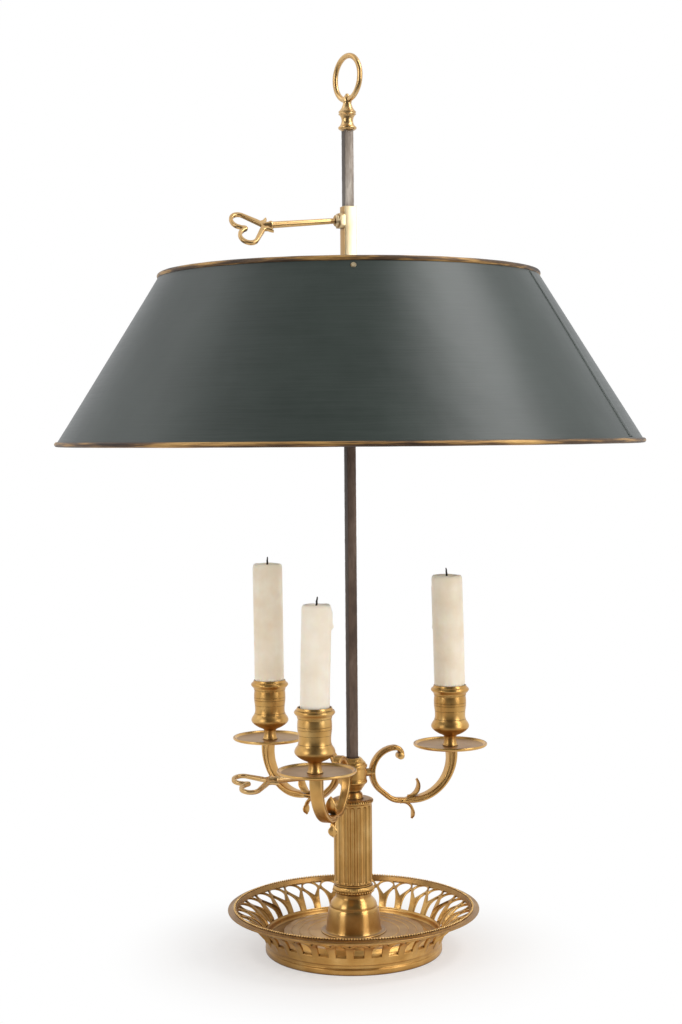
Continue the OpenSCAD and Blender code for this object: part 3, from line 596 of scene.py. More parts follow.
def gallery_outlines():
    """The wall laid flat, each bay with a lancet, the spandrel above it and an eye beside it."""
    def at(x, a):
        return ((GALLERY_FOOT[0] + x) * cos(a), (GALLERY_FOOT[0] + x) * sin(a))

    def laid(x, y, azimuth):
        return at(x, azimuth + atan2(y, on_gallery(x)[0]) + skew(azimuth, x))

    def ring(x):
        n = BAYS * 12
        return [at(x, 2 * pi * k / n) for k in range(n)]

    arch_r, arch_x, arch_y = 33.5, 3.4, 29.75
    lancet_tip = 18.2
    side = [(x, sqrt(arch_r ** 2 - (x - arch_x) ** 2) - arch_y) for x in
            [lancet_tip * sin(pi / 2 * k / 9) for k in range(10)]]
    lancet = [(-1.3, side[0][1]), *side]
    lancet += [(x, -y) for x, y in reversed(lancet)]
    eye_r, eye_x, point = 5.7, 20.9, 11.1
    half = degrees(asin(eye_r / (eye_x - point)))
    eye = [(point, 0), *circle_points((eye_x, 0), eye_r, -90 - half, 90 + half, 18)]
    spandrel = [(21.3, -0.3), (26.4, -3.0), (26.4, 3.0), (21.3, 0.3)]
    outlines = [ring(28.4), ring(-3.4)]
    bay = 2 * pi / BAYS
    for k in range(BAYS):
        post = POST_AZIMUTH + k * bay
        outlines.append([laid(x, y, post) for x, y in eye])
        outlines.append([laid(x, y, post + bay / 2) for x, y in lancet])
        outlines.append([laid(x, y, post + bay / 2) for x, y in spandrel])
    return outlines


def basket_pieces():
    build = Build()
    points, faces = flat_shape("gallery", gallery_outlines(), 2.0, 0.62)
    bent = []
    for x, y, h in points:
        a, along = atan2(y, x), hypot(x, y) - GALLERY_FOOT[0]
        r, z, nr, nz = on_gallery(along)
        bent.append(((r + h * nr) * cos(a), (r + h * nr) * sin(a), z + h * nz))
    build.add(bent, faces)
    grooves = [p for r in (47, 41, 34) for p in
               ((r + 0.7, FLOOR_TOP, 1), (r + 0.3, FLOOR_TOP - 0.4, 1), (r - 0.3, FLOOR_TOP - 0.4, 1),
                (r - 0.7, FLOOR_TOP, 1))]
    outer = circle_points(COVE_C, COVE_IN, 177, 163.2, 6)
    inner = circle_points(COVE_C, COVE_OUT, 159, 161, 1)
    drum = [(3.05, FLOOR_LOW, 1), (51, FLOOR_LOW, 1), (57.5, 8.2), (62.8, 7.6), (63, 6.3), (62, 5, 1),
            (62, 0, 1), (65.5, 0, 1), (66.2, 0.7, 1), (66.2, 4.1, 1), (65.2, 5, 1), (65.2, 7.2, 1),
            (66.5, 7.8, 1), *[(r, z, 1) for r, z in outer], *[(r, z, 1) for r, z in inner],
            (64.9, 13.6), (64.4, 11.4), (63.7, 10.2, 1), (58.6, 10.1), (55.5, 11.4), (53.4, 13.4),
            (52.6, 14.1, 1), (52.2, FLOOR_TOP, 1), *grooves, (3.05, FLOOR_TOP, 1)]
    build.add(*lathe(soften(flowing(drum), 0.35), 264))
    rim = [(86.5, 29.9), (88.6, 30.5), (91.2, 30.9), (92.7, 31.1),
           *circle_points((93.45, 31.75), 0.65, -70, 90, 7), (92.4, 32.3), (91.7, 32.2), (90.6, 32.5),
           (89.75, 32.95), (89.4, 32.8), (88.9, 32.7), (88.3, 33.0), (87.95, 33.5), (87.7, 33.3),
           (87.1, 31.6), (86.5, 30.2)]
    piece("basket_cast", build, GILT_DISH, "stand", ["basket"])
    piece("rim_turned", Build().add(*lathe(soften(rim, 0.15), 264)), GILT_RIM, "stand")
    beads = bead_row(Build(), 280, 89.1, 33.62, 0.76, around=8, rows=6)
    piece("rim_beads", beads, GILT_BEADS, "stand")


# Column -------------------------------------------------------------------------------------

BORE_R = 5.2
COLUMN_R = 14.3
FLUTES = 18
FLUTE_AZIMUTH = radians(-91.8)


def column_pieces():
    bell = [(BORE_R, 0, 1), (24.5, 0, 1), (24.5, 0.5, 1), (24.1, 0.8, 1), (21.3, 1, 1), (20.8, 2.2),
            (20.3, 5), (19.9, 8.6), (19.5, 12), (19, 15.7), (18.3, 17.9), (17.5, 18.7, 1), (17.6, 19.5),
            (17.4, 20.7), (16.5, 22.5), (15.3, 24), (13.9, 25.5), (13.4, 26.5), (13.4, 29.1, 1),
            (BORE_R, 29.1, 1)]
    turned("bell_turned", "bell_socle", flowing(bell, 5), GILT_BELL, "stand", "gilt_bronze", 144)

    foot = node_foot("column_collar")[2]
    bead_r = COLUMN_R + 0.55

    def gadroons(a, r, z):
        if 2.7 < z < 5.4 and r > COLUMN_R:
            lift = min(1.0, (z - 2.7) / 0.5, (5.4 - z) / 0.4)
            return r + 0.22 * lift * (abs(sin(a * 36)) - 0.5), z
        return r, z

    collar = [(BORE_R, 0), (COLUMN_R - 1.6, 0), (COLUMN_R - 0.2, 0.6), (bead_r, 1.2), (bead_r, 2.2),
              (COLUMN_R + 0.7, 2.7), (COLUMN_R + 0.9, 3.0), (COLUMN_R + 0.75, 3.9), (COLUMN_R + 0.5, 4.9),
              (COLUMN_R + 0.3, 5.4), (COLUMN_R + 0.3, 5.7), (BORE_R, 5.7)]
    build = Build().add(*lathe(soften(collar, 0.2), 288, gadroons))
    bead_row(build, 45, bead_r, 1.7, 0.95, around=12, rows=8)
    build.points = [(x, y, z + foot) for x, y, z in build.points]
    piece("collar_beaded", build, GILT_COLUMN, "stand", ["column_collar"])

    height, neck = 61.7, 2.2
    flute_r, flute_c = 1.85, COLUMN_R + 0.5
    flute_low, flute_high = neck + flute_r, height - 1 - flute_r
    spread = (-10, -7.2, -6.62, -6.2, -5.2, -3.9, -2.6, -1.3, 0, 1.3, 2.6, 3.9, 5.2, 6.2, 6.62, 7.2)
    angles = [FLUTE_AZIMUTH + 2 * pi * k / FLUTES + radians(d) for k in range(FLUTES) for d in spread]

    def flutes(a, r, z):
        if r < COLUMN_R - 0.01 or z < neck:
            return r, z
        off = (a - FLUTE_AZIMUTH + pi / FLUTES) % (2 * pi / FLUTES) - pi / FLUTES
        up = max(flute_low - z, z - flute_high, 0)
        inside = flute_r ** 2 - (flute_c * sin(off)) ** 2 - up * up
        return (min(r, flute_c * cos(off) - sqrt(inside)), z) if inside > 0 else (r, z)

    steps = [0, 0.25, 0.55, 0.9, 1.2, 1.45, 1.62, 1.72, 1.8]
    rows = [flute_low - s for s in reversed(steps)] + [flute_high + s for s in steps]
    shaft = [(BORE_R, 0), (COLUMN_R - 0.7, 0), (COLUMN_R - 0.35, 0.5), (COLUMN_R - 0.35, 1.3),
             (COLUMN_R - 0.8, 1.7), (COLUMN_R, neck), *[(COLUMN_R, z) for z in rows], (COLUMN_R, height),
             (BORE_R, height)]
    turned("column_fluted", "fluted_column", shaft, GILT_COLUMN, "stand", "gilt_bronze", angles, flutes,
           reach=0.0)

    teeth = 52

    def notches(a, r, z):
        if r > COLUMN_R + 0.1 and z > 1.5:
            cut = max(0.0, cos(a * teeth)) ** 0.5
            deep = min(1.0, (z - 1.5) / 0.3)
            return r - 0.8 * cut * deep, z - 0.2 * cut * deep
        return r, z

    c = COLUMN_R
    cap = [(BORE_R, 0), (c + 0.1, 0), (c + 0.7, 0.4), (c + 1.05, 1.0), (c + 1.12, 1.5), (c + 1.15, 1.85),
           (c + 1.1, 2.3), (c + 0.9, 2.65), (c + 0.4, 2.85), (c, 2.95), (c - 0.8, 3.4), (BORE_R, 3.4)]
    turned("cap_notched", "column_cap", cap, GILT_COLUMN, "stand", "gilt_bronze", teeth * 8, notches, 0.2)
    f = 8
    dome = [(BORE_R, 0, 1), (f, 0, 1), (f, 0.8, 1), (f - 0.4, 2.6), (f - 1.2, 4.2), (f - 2.4, 5.3),
            (BORE_R + 0.2, 5.8, 1), (BORE_R, 5.8, 1)]
    turned("dome_turned", "stop_dome", flowing(dome, 5), GILT_TURNED, "stand", "gilt_bronze", 96)


# Rod, finial and ring -----------------------------------------------------------------------

ROD_TURN = 22.4
ROD_W = 7.0
ROD_TOP = 609.5
EYE_UP, RING_R, RING_WIRE = 21.8, 16.0, 2.0
RING_AZIMUTH, RING_LEAN = -56, 2


def square_tube(outer, z1, z2, hole=0.0, edge=0.45, rows=1, wobble=0.0):
    """An upright square bar or sleeve about the axis with worn edges."""
    def loop(w, rounding, z, shift=0.0):
        half = w / 2
        ring = []
        for k in range(4):
            a0 = 90 * k
            cx = (half - rounding) * (1 if k in (0, 3) else -1)
            cy = (half - rounding) * (1 if k in (0, 1) else -1)
            for a in (0, 22, 45, 68, 90):
                grow = rounding + shift * (0.5 + noise.noise(Vector((cx * 3, cy * 3, z * 0.35))))
                ring.append((cx + grow * cos(radians(a0 + a)), cy + grow * sin(radians(a0 + a)), z))
        return ring

    levels = [z1 + (z2 - z1) * k / rows for k in range(rows + 1)]
    rings = [loop(outer - 0.5, edge, z1), loop(outer, edge, z1 + 0.3)]
    rings += [loop(outer, edge, z, wobble) for z in levels[1:-1]]
    rings += [loop(outer, edge, z2 - 0.3), loop(outer - 0.5, edge, z2)]
    if hole:
        rings += [loop(hole, 0.1, z2), loop(hole, 0.1, z1), rings[0]]
    return Build().add(*tube(rings, ends=not hole), Matrix.Rotation(radians(ROD_TURN), 4, "Z"))


def rod_pieces():
    build = square_tube(ROD_W, FLOOR_TOP, ROD_TOP, rows=240, wobble=-0.14)
    build.add(*lathe([(0, 4), (2.4, 4), (3, 4.6), (3, FLOOR_TOP + 0.2), (0, FLOOR_TOP + 0.2)], 40))
    piece("rod_forged", build, ROD_IRON, "stand", ["rod"])

    profile = [(0, 0), (5.8, 0, 1), (6.7, 0.9), (6.7, 1.9), (5.6, 2.9, 1), (4.7, 4.5), (4.25, 6.7),
               (4.6, 8.9), (5.5, 10.5, 1), (6.55, 11.3, 1), (6.1, 12.1), (6.6, 13.1, 1), (5.4, 14.3, 1),
               (4.2, 16.1), (3.4, 18.1), (3.1, 19.4), (3.4, 20.6), (3.3, 22.6), (2.4, 24.2), (0, 24.8)]
    build = Build().add(*lathe(soften(flowing(profile, 5), 0.1), 96), Matrix.Translation((0, 0, ROD_TOP)))
    piece("finial_turned", build, GILT_SMOOTH, "stand", ["finial"])

    outline = [(RING_R + x, y) for x, y in circle_points((0, 0), RING_WIRE, 0, 345, 23)]

    def worn(a, r, z):
        return r + 0.12 * noise.noise(Vector((cos(a) * 2.2, sin(a) * 2.2, z * 0.2))), z

    place = (Matrix.Translation((0, 0, ROD_TOP + EYE_UP)) @ Matrix.Rotation(radians(RING_AZIMUTH), 4, "Z")
             @ Matrix.Rotation(radians(RING_LEAN), 4, "Y") @ Matrix.Rotation(pi / 2, 4, "X")
             @ Matrix.Translation((0, RING_R, 0)))
    build = Build().add(*lathe(outline, 128, worn), place)
    piece("ring_worn", build, GILT_SMOOTH, "stand", ["lifting_ring"])


# Shade, spider and sleeve -------------------------------------------------------------------

SHADE_BOTTOM_R, SHADE_TOP_R = 214.5, 138.7
SHADE_BOTTOM_Z, SHADE_H = 380.4, 121.7
SHEET_T = 0.9
WIRE_LOW_R, WIRE_HIGH_R = 1.8, 2.1
SHADE_LEAN = atan2(SHADE_BOTTOM_R - SHADE_TOP_R, SHADE_H)
SHADE_SLANT = hypot(SHADE_BOTTOM_R - SHADE_TOP_R, SHADE_H)
SEAM_AZIMUTH = radians(-26)
SPIDER_AZIMUTHS = (-89, 31, 151)
SPIDER_Z = SHADE_BOTTOM_Z + SHADE_H - 12.1
SLEEVE_W, SLEEVE_Z, SLEEVE_H = 9.3, SPIDER_Z - 2, 65.6


def on_sheet(out, along):
    """A point of the sheet's section: out through the sheet, along it from the lower wire."""
    return (SHADE_BOTTOM_R + out * cos(SHADE_LEAN) - along * sin(SHADE_LEAN),
            SHADE_BOTTOM_Z + out * sin(SHADE_LEAN) + along * cos(SHADE_LEAN))


def shade_pieces():
    half = SHEET_T / 2
    rows = 30
    low, high = 0.4, SHADE_SLANT - 0.4
    outline = [on_sheet(half, low + (high - low) * k / rows) for k in range(rows + 1)]
    outline += [on_sheet(-half, high - (high - low) * k / rows) for k in range(rows + 1)]

    def dents(a, r, z):
        up = (z - SHADE_BOTTOM_Z) / SHADE_H
        calm = max(0.0, min(1.0, up * 8, (1 - up) * 8))
        near = Vector((cos(a) * 1.6, sin(a) * 1.6, up * 1.1))
        return r + 0.55 * calm * noise.noise(near * 1.7), z

    build = Build().add(*lathe(outline, 256, dents))
    seam_turn = 5 / SHADE_TOP_R
    strip = []
    lift = [(0, 0.0), (0.06, 0.75), (0.15, 0.95), (0.5, 1.0), (0.85, 0.95), (0.94, 0.75), (1, 0.0)]
    seam_rows = 24
    for k in range(seam_rows + 1):
        along = 3 + (SHADE_SLANT - 6) * k / seam_rows
        ring = []
        for t, h in lift:
            a = SEAM_AZIMUTH + seam_turn * t
            r, z = on_sheet(half + 0.9 * h - 0.25, along)
            r = dents(a, r, z)[0]
            ring.append((r * cos(a), r * sin(a), z))
        strip.append(ring)
    points = [p for ring in strip for p in ring]
    n = len(lift)
    faces = [(s * n + k, s * n + k + 1, (s + 1) * n + k + 1, (s + 1) * n + k)
             for s in range(seam_rows) for k in range(n - 1)]
    build.add(points, faces)
    piece("shade_painted", build, SHADE_PAINT, "shade", ["shade_cone"], sharp=50)

    for name, node, r, z, wire in (
            ("bead_low", "bottom_bead", SHADE_BOTTOM_R, SHADE_BOTTOM_Z, WIRE_LOW_R),
            ("bead_high", "top_bead", SHADE_TOP_R, SHADE_BOTTOM_Z + SHADE_H, WIRE_HIGH_R)):
        outline = [(r + x, z + y) for x, y in circle_points((0, 0), wire, 0, 342, 19)]

        def uneven(a, rr, zz):
            k = 1 + 0.05 * noise.noise(Vector((cos(a) * 9, sin(a) * 9, zz * 0.3)))
            return r + (rr - r) * k, z + (zz - z) * k

        build = Build().add(*lathe(outline, 360, uneven))
        piece(name, build, BEAD_GILDING, "shade", [node])

    # A spoke runs out level, bends up and lies against the inside of the sheet as a tab.
    z = SPIDER_Z + 1.1
    bend = on_sheet(-half - 1.1, (SPIDER_Z - SHADE_BOTTOM_Z + 1.1) / cos(SHADE_LEAN))[0] - 2.5
    tab_foot = on_sheet(-half - 1.15, (SPIDER_Z + 2.6 - SHADE_BOTTOM_Z) / cos(SHADE_LEAN))
    tab_tip = on_sheet(-half - 1.15, SHADE_SLANT - WIRE_HIGH_R - 0.8)
    inward = (-cos(SHADE_LEAN), -sin(SHADE_LEAN))
    spoke = [(8, z, 0, 1), (bend, z, 0, 1), ((bend + tab_foot[0]) / 2 + 0.5, z + 0.3, -0.4, 0.6),
             (*tab_foot, *inward), (*tab_tip, *inward)]
    build = Build()
    for azimuth in SPIDER_AZIMUTHS:
        bar = swept([(*station, 2.2, 7) for station in spoke], lambda t, w: bar_section(t, w, 0.6))
        build.add(*bar, Matrix.Rotation(radians(azimuth), 4, "Z"))
    hub_in = SLEEVE_W * 0.72
    hub = [(hub_in, SPIDER_Z), (9, SPIDER_Z), (9, SPIDER_Z + 4), (hub_in, SPIDER_Z + 4)]
    build.add(*lathe(soften(hub, 0.5), 72))
    piece("spider_bars", build, PALE_BRASS_AND_HIGHLIGHT, "shade", ["spider"])

    build = square_tube(SLEEVE_W, SLEEVE_Z, SLEEVE_Z + SLEEVE_H, hole=7.16, edge=0.5, rows=24, wobble=-0.06)
    face = SLEEVE_W / 2
    block = [(0, face - 0.6), (6.4, face - 0.6), (6.4, face + 3.2), (5.9, face + 3.7), (0, face + 3.7)]
    nose = [(0, face), (4.4, face), (4.4, face + 5.0), (4.1, face + 5.7), (3.6, face + 6.05),
            (0, face + 6.1)]
    place = (Matrix.Translation((0, 0, SHADE_KEY_Z)) @ Matrix.Rotation(radians(ROD_TURN + 180), 4, "Z")
             @ Matrix.Rotation(pi / 2, 4, "Y"))
    corners = [radians(90 * k + d) for k in range(4) for d in (-32, 32)]
    build.add(*lathe(soften(block, 0.25), corners), place)
    build.add(*lathe(soften(nose, 0.25), 96), place)
    piece("sleeve_clamp", build, PALE_BRASS_AND_HIGHLIGHT, "shade", ["clamp_sleeve"])


# Keys ---------------------------------------------------------------------------------------

KEY_REACH = 92.0
HEART_X = KEY_REACH - 25.5
HEART_T, HEART_BAND = 3.0, 3.0
LOBE_R, LOBE_Y = 6.8, 8.4
LOBE_X = KEY_REACH - LOBE_R - HEART_BAND / 2
SHADE_KEY_Z = SLEEVE_Z + SLEEVE_H - 10.6
SOCKET_Z = 133.0


def heart_outlines():
    run = Vector((LOBE_X - HEART_X, LOBE_Y - 1.9))
    aim = atan2(run.y, run.x) + asin(LOBE_R / run.length)
    touch = degrees(aim) + 90
    half = HEART_BAND / 2
    away = Vector((-sin(aim), cos(aim)))
    foot = Vector((HEART_X, 1.9))
    inner_start = foot - away * half
    slide = inner_start.y / sin(aim)
    meet = (inner_start.x - slide * cos(aim) + 2.2, 0)
    outer = [(HEART_X - 2.6, 1.6), (HEART_X - 3.2, 3.1), (HEART_X - 4.8, 5.2), (HEART_X - 5.0, 7.3),
             (HEART_X - 3.2, 6.6), (HEART_X - 1.0, 5.0), (HEART_X + 1.4, 4.7),
             tuple(foot + away * half + Vector((cos(aim), sin(aim))) * 4.4)]
    outer += circle_points((LOBE_X, LOBE_Y), LOBE_R + half, touch, -74, 22)
    outer += [(LOBE_X + 3.0, 0)]
    full = outer + [(x, -y) for x, y in reversed(outer[:-1])]
    inner = [meet] + circle_points((LOBE_X, LOBE_Y), LOBE_R - half, touch, -66, 18)
    inner += [(LOBE_X + 0.9, 2.6), (LOBE_X - 1.4, 2.0), (LOBE_X - 2.8, 0.9)]
    hole = inner + [(x, -y) for x, y in reversed(inner[1:])]
    return [full, hole]


def key_build(turn, bend, shape):
    """A key along X, its heart turned about X, bent down and stretched by shape (degrees)."""
    build = Build()
    along = Matrix.Rotation(pi / 2, 4, "Y")
    thread = [(0, 3.73)]
    z = 3.9
    while z < 14.3:
        crest = 1.7 if z < 10.9 else 2.1
        thread += [(crest - 0.35, z), (crest, z + 0.3), (crest - 0.35, z + 0.6)]
        z += 0.72
    shank = [(2.0, 14.5), (2.1, 15.2), (2.3, HEART_X - 26), (2.45, HEART_X - 7.2), (3.0, HEART_X - 6.6),
             (3.1, HEART_X - 5.6), (3.0, HEART_X - 4.6), (2.55, HEART_X - 4.0), (2.6, HEART_X - 1),
             (1.9, HEART_X + 0.4), (0, HEART_X + 0.6)]
    build.add(*lathe(thread + shank, 40), along)
    points, faces = flat_shape("heart", heart_outlines(), HEART_T, 0.85, 3)
    pivot = Matrix.Translation((HEART_X - 3.5, 0, 0))
    build.add(points, faces, pivot @ Matrix.Rotation(radians(bend), 4, "Y")
              @ Matrix.Rotation(radians(turn), 4, "X") @ Matrix.Diagonal((*shape, 1, 1))
              @ Matrix.Translation((3.5 - HEART_X, 0, 0)))
    return build


def key_pieces():
    about = Matrix.Rotation(radians(ROD_TURN + 180), 4, "Z")
    droop = (about @ Matrix.Translation((8, 0, SHADE_KEY_Z)) @ Matrix.Rotation(radians(5.6), 4, "Y")
             @ Matrix.Translation((-8, 0, 0)))
    level = about @ Matrix.Translation((0, 0, SOCKET_Z))
    for name, node, body, place, turn, bend, shape, slot in (
            ("key_upper", "shade_key", "shade_key", droop, -43, 4, (0.9, 1.1), "pale_brass"),
            ("key_lower", "arms_key", "arms_key", level, -12, 3, (1, 1), "gilt_bronze")):
        build = key_build(turn, bend, shape)
        build.points = [tuple(place @ Vector(p)) for p in build.points]
        piece(name, build, GILT_SMOOTH, body, [node])


# Arms, pans, cups and candles ---------------------------------------------------------------

HUB_CORE, HUB_R = 10.5, 11.0
SCROLL_C, SCROLL_R = (33.4, -0.6), 17.9
SCROLL_T, SCROLL_W = 3.9, 6.4
CURL_C, CURL_R = (33.4, 11.7), 5.6
HEEL_C, HEEL_R = (37.471, -8.194), 14.7
HEEL_Z = HEEL_C[1] - HEEL_R
BELLY_C, BELLY_R = (47.1, 10.506), 36.0
HOLLOW_C, HOLLOW_R = (48.6, 6.906), 27.4
DROP_R, RISE_R = 9.0, 8.1
DROP_LENGTH = DROP_R * radians(126)
LIMB_IN, LIMB_OUT, LIMB_TOP = 75.76, 83.1, 14.8
KNOB_AT = (37.8, 0, 11)
PAN_Z = 147.8
CUP_Z, CUP_MOUTH = 149.0, 195.5
CANDLE_FOOT = 166.0
NEAR_REACH = 78.5


def arc_stations(c, r, a1, a2, steps, t, w):
    """Stations along an arc; t and w are numbers, or functions of the way along it."""
    return [(*station, t(k / steps) if callable(t) else t, w(k / steps) if callable(w) else w)
            for k, station in enumerate(arc_path(c, r, a1, a2, steps))]


def limb_stations(shift):
    """The crescent from the scroll's heel up to the pan, carried out by shift."""
    out = []
    for k in range(45):
        f = k / 44
        a = radians(-104 + 104 * f)
        d = Vector((cos(a), sin(a)))
        c = Vector(BELLY_C)
        off = c - Vector(HOLLOW_C)
        b = off.dot(d)
        inner = -b + sqrt(b * b - off.length_squared + HOLLOW_R ** 2)
        thick = BELLY_R - inner
        thick = 2.6 + (thick - 2.6) * smooth((f + 0.02) / 0.16)
        p = c + d * (BELLY_R - thick / 2)
        out.append((p.x + shift, p.y, d.x, d.y, thick, SCROLL_W + 2.6 * smooth(f / 0.3)))
    for k in range(1, 7):
        f = k / 6
        low, high = LIMB_IN - 1.56 * smooth(f), LIMB_OUT + 0.4 * smooth(f)
        up = BELLY_C[1] + (LIMB_TOP - BELLY_C[1]) * f
        out.append(((low + high) / 2 + shift, up, 1, 0, high - low, SCROLL_W + 2.6))
    return out


def leaf(path, width, thick, dish):
    """A curled leaf: path gives (p, q, nx, nq) along it, its outer face hollowed by dish."""
    across = [-1, -0.93, -0.8, -0.6, -0.3, 0, 0.3, 0.6, 0.8, 0.93, 1]
    rings = []
    for k, (p, q, nx, nq) in enumerate(path):
        f = k / (len(path) - 1)
        w, t, d = width(f) / 2, thick(f) / 2, dish(f)
        front = [(t * (1 - 0.75 * abs(j) ** 6) - d * max(0.0, 1 - (j / 0.72) ** 2), j * w) for j in across]
        back = [(-t * sqrt(max(0.0, 1 - j * j)), j * w) for j in reversed(across[1:-1])]
        rings.append([(p + n * nx, y, q + n * nq) for n, y in front + back])
    return tube(rings)


def arm_build(azimuth, reach):
    """One arm: curl, scroll and foot in one bar, limb, knob, tenon and the two leaves."""
    shift = reach - NEAR_REACH
    place = Matrix.Translation((0, 0, SOCKET_Z)) @ Matrix.Rotation(radians(azimuth), 4, "Z")
    build = Build()

    def grooved(t, w):
        return bar_section(t, w, 1.15, 1.5, 0.75)

    def plain(t, w):
        return bar_section(t, w, min(1.2, t * 0.34))

    def limb_shape(t, w):
        edge = min(1.5, t * 0.3)
        return bar_section(t, w, edge, 1.8 * smooth((t - 2.4) / 3), 0.8 * smooth((t - 2.4) / 3))

    curl = arc_stations(CURL_C, CURL_R, 5, 92, 18, lambda f: SCROLL_T - 0.6 * (1 - f),
                        lambda f: SCROLL_W - 0.3 * (1 - f))
    build.add(*swept(curl, plain), place)
    scroll = arc_stations(SCROLL_C, SCROLL_R, 88, 230, 48, SCROLL_T, SCROLL_W)
    slant = radians(-40)
    start = Vector(scroll[-1][:2])
    ahead = Vector((cos(slant), sin(slant)))
    out = Vector((sin(slant), -cos(slant)))
    for k in range(1, 5):
        p = start + ahead * 8 * k / 5
        scroll.append((p.x, p.y, out.x, out.y, SCROLL_T, SCROLL_W))
    scroll += arc_stations(HEEL_C, HEEL_R, -130, -90, 14, SCROLL_T, SCROLL_W)
    for k in range(1, 5):
        scroll.append((HEEL_C[0] + (shift + 6.5) * k / 4, HEEL_Z, 0, -1, SCROLL_T - 0.3 * k, SCROLL_W))
    build.add(*swept(scroll, grooved), place)
    build.add(*swept(limb_stations(shift), limb_shape), place)
    knob = [(0, -3.6), (2.0, -3.6), (2.6, -3.2), (2.8, -2.4), (2.8, 2.4), (2.6, 3.2), (2.0, 3.6), (0, 3.6)]
    build.add(*lathe(knob, 32), place @ Matrix.Translation(KNOB_AT) @ Matrix.Rotation(-pi / 2, 4, "X"))
    tenon = [(0, 8.4), (2.95, 8.4), (2.95, 14.6), (3.3, 15.4), (3.6, 16.6), (0, 16.6)]
    build.add(*lathe(tenon, 36), place @ Matrix.Rotation(pi / 2, 4, "Y"))

    def spoon(f):
        off = (f - 0.78) * DROP_LENGTH
        disc = 2 * sqrt(max(0.02, 3.6 ** 2 - off * off))
        return max(disc, 4.4 if off < 0 else 0.3)

    def oval(f):
        chord = RISE_R * sin(radians(-66 + 132 * f))
        return 8.4 * sqrt(max(0.01, 1 - (chord / 7.42) ** 2))

    drop = arc_path((HEEL_C[0] + 1.3, HEEL_C[1] - 25.2), DROP_R, 98, -28, 44)
    build.add(*leaf(drop, spoon, lambda f: 2.4 - 0.5 * f,
                    lambda f: 0.7 * smooth((f - 0.5) / 0.2) * (1 - smooth((f - 0.9) / 0.1))), place)
    rise = arc_path((HEEL_C[0] + 6.8, HEEL_C[1] - 4.1), RISE_R, -96, 36, 36)
    build.add(*leaf(rise, oval, lambda f: 2.2 - 0.4 * f,
                    lambda f: 1.0 * smooth((f - 0.2) / 0.2) * (1 - smooth((f - 0.84) / 0.14))), place)
    return build


def hub_piece():
    c, r = HUB_CORE, HUB_R
    bore = 5.1
    hub = [(bore, 0, 1), (6.8, 0, 1), (7.2, 1), (8.6, 3), (9.7, 4.7), (c, 5.4, 1), (10.9, 5.9), (r, 6.7),
           (10.8, 7.5), (c, 7.9, 1), (c, 8.8, 1), (c - 0.2, 9.0, 1), (c, 9.2, 1), (c, 16.2, 1),
           (c - 0.2, 16.4, 1), (c, 16.6, 1), (c, 17, 1), (10.8, 17.3), (r, 18.2), (10.9, 19),
           (10, 20, 1), (9.4, 21.2), (8.4, 22.2), (7.6, 23.2, 1), (6.4, 24.5, 1), (bore, 24.5, 1)]
    turned("hub_turned", "arm_hub", flowing(hub, 5), GILT_TURNED, "arms", "gilt_bronze", 96, reach=0.2)


PAN_R = 28.0
CUP_LINES = (38.9, 33.1, 31.0, 26.9, 20.6)


def cup_outline():
    """The cup's section from its stem to its mouth, with its incised lines."""
    side = [(0, 0), (5.8, 0, 1), (5.8, 0.7, 1), (5.0, 2.2), (4.55, 5), (4.8, 7.4), (6, 8.4, 1), (9.2, 9.8),
            (12.1, 11.7), (13.9, 13.5), (14.45, 15.3), (13.9, 17.1), (12.9, 18.7, 1), (12.3, 19.6),
            (11.7, 21.4), (11.5, 23.6), (11.7, 27), (12.2, 31.2), (12.2, 35), (11.9, 38.2, 1),
            (12.3, 39.2), (12.4, 40.0), (12.8, 40.7, 1), (13.5, 41.3), (14.5, 42.9), (13.8, 44.4, 1),
            (13.0, 44.8, 1), (12.6, 45.6), (12.3, 46.5, 1), (11.65, 46.5, 1), (9.9, 37, 1),
            (9.7, 17, 1), (0, 17)]
    dense = flowing(side, 7)
    out = []
    for (r1, z1), (r2, z2) in zip(dense, dense[1:] + dense[:1]):
        out.append((r1, z1))
        if z2 > z1 and r1 > 10.4:
            for line in CUP_LINES:
                if z1 < line <= z2:
                    t = (line - z1) / (z2 - z1)
                    r = r1 + (r2 - r1) * t
                    out += [(r, line - 0.22), (r - 0.3, line), (r, line + 0.22)]
    return out


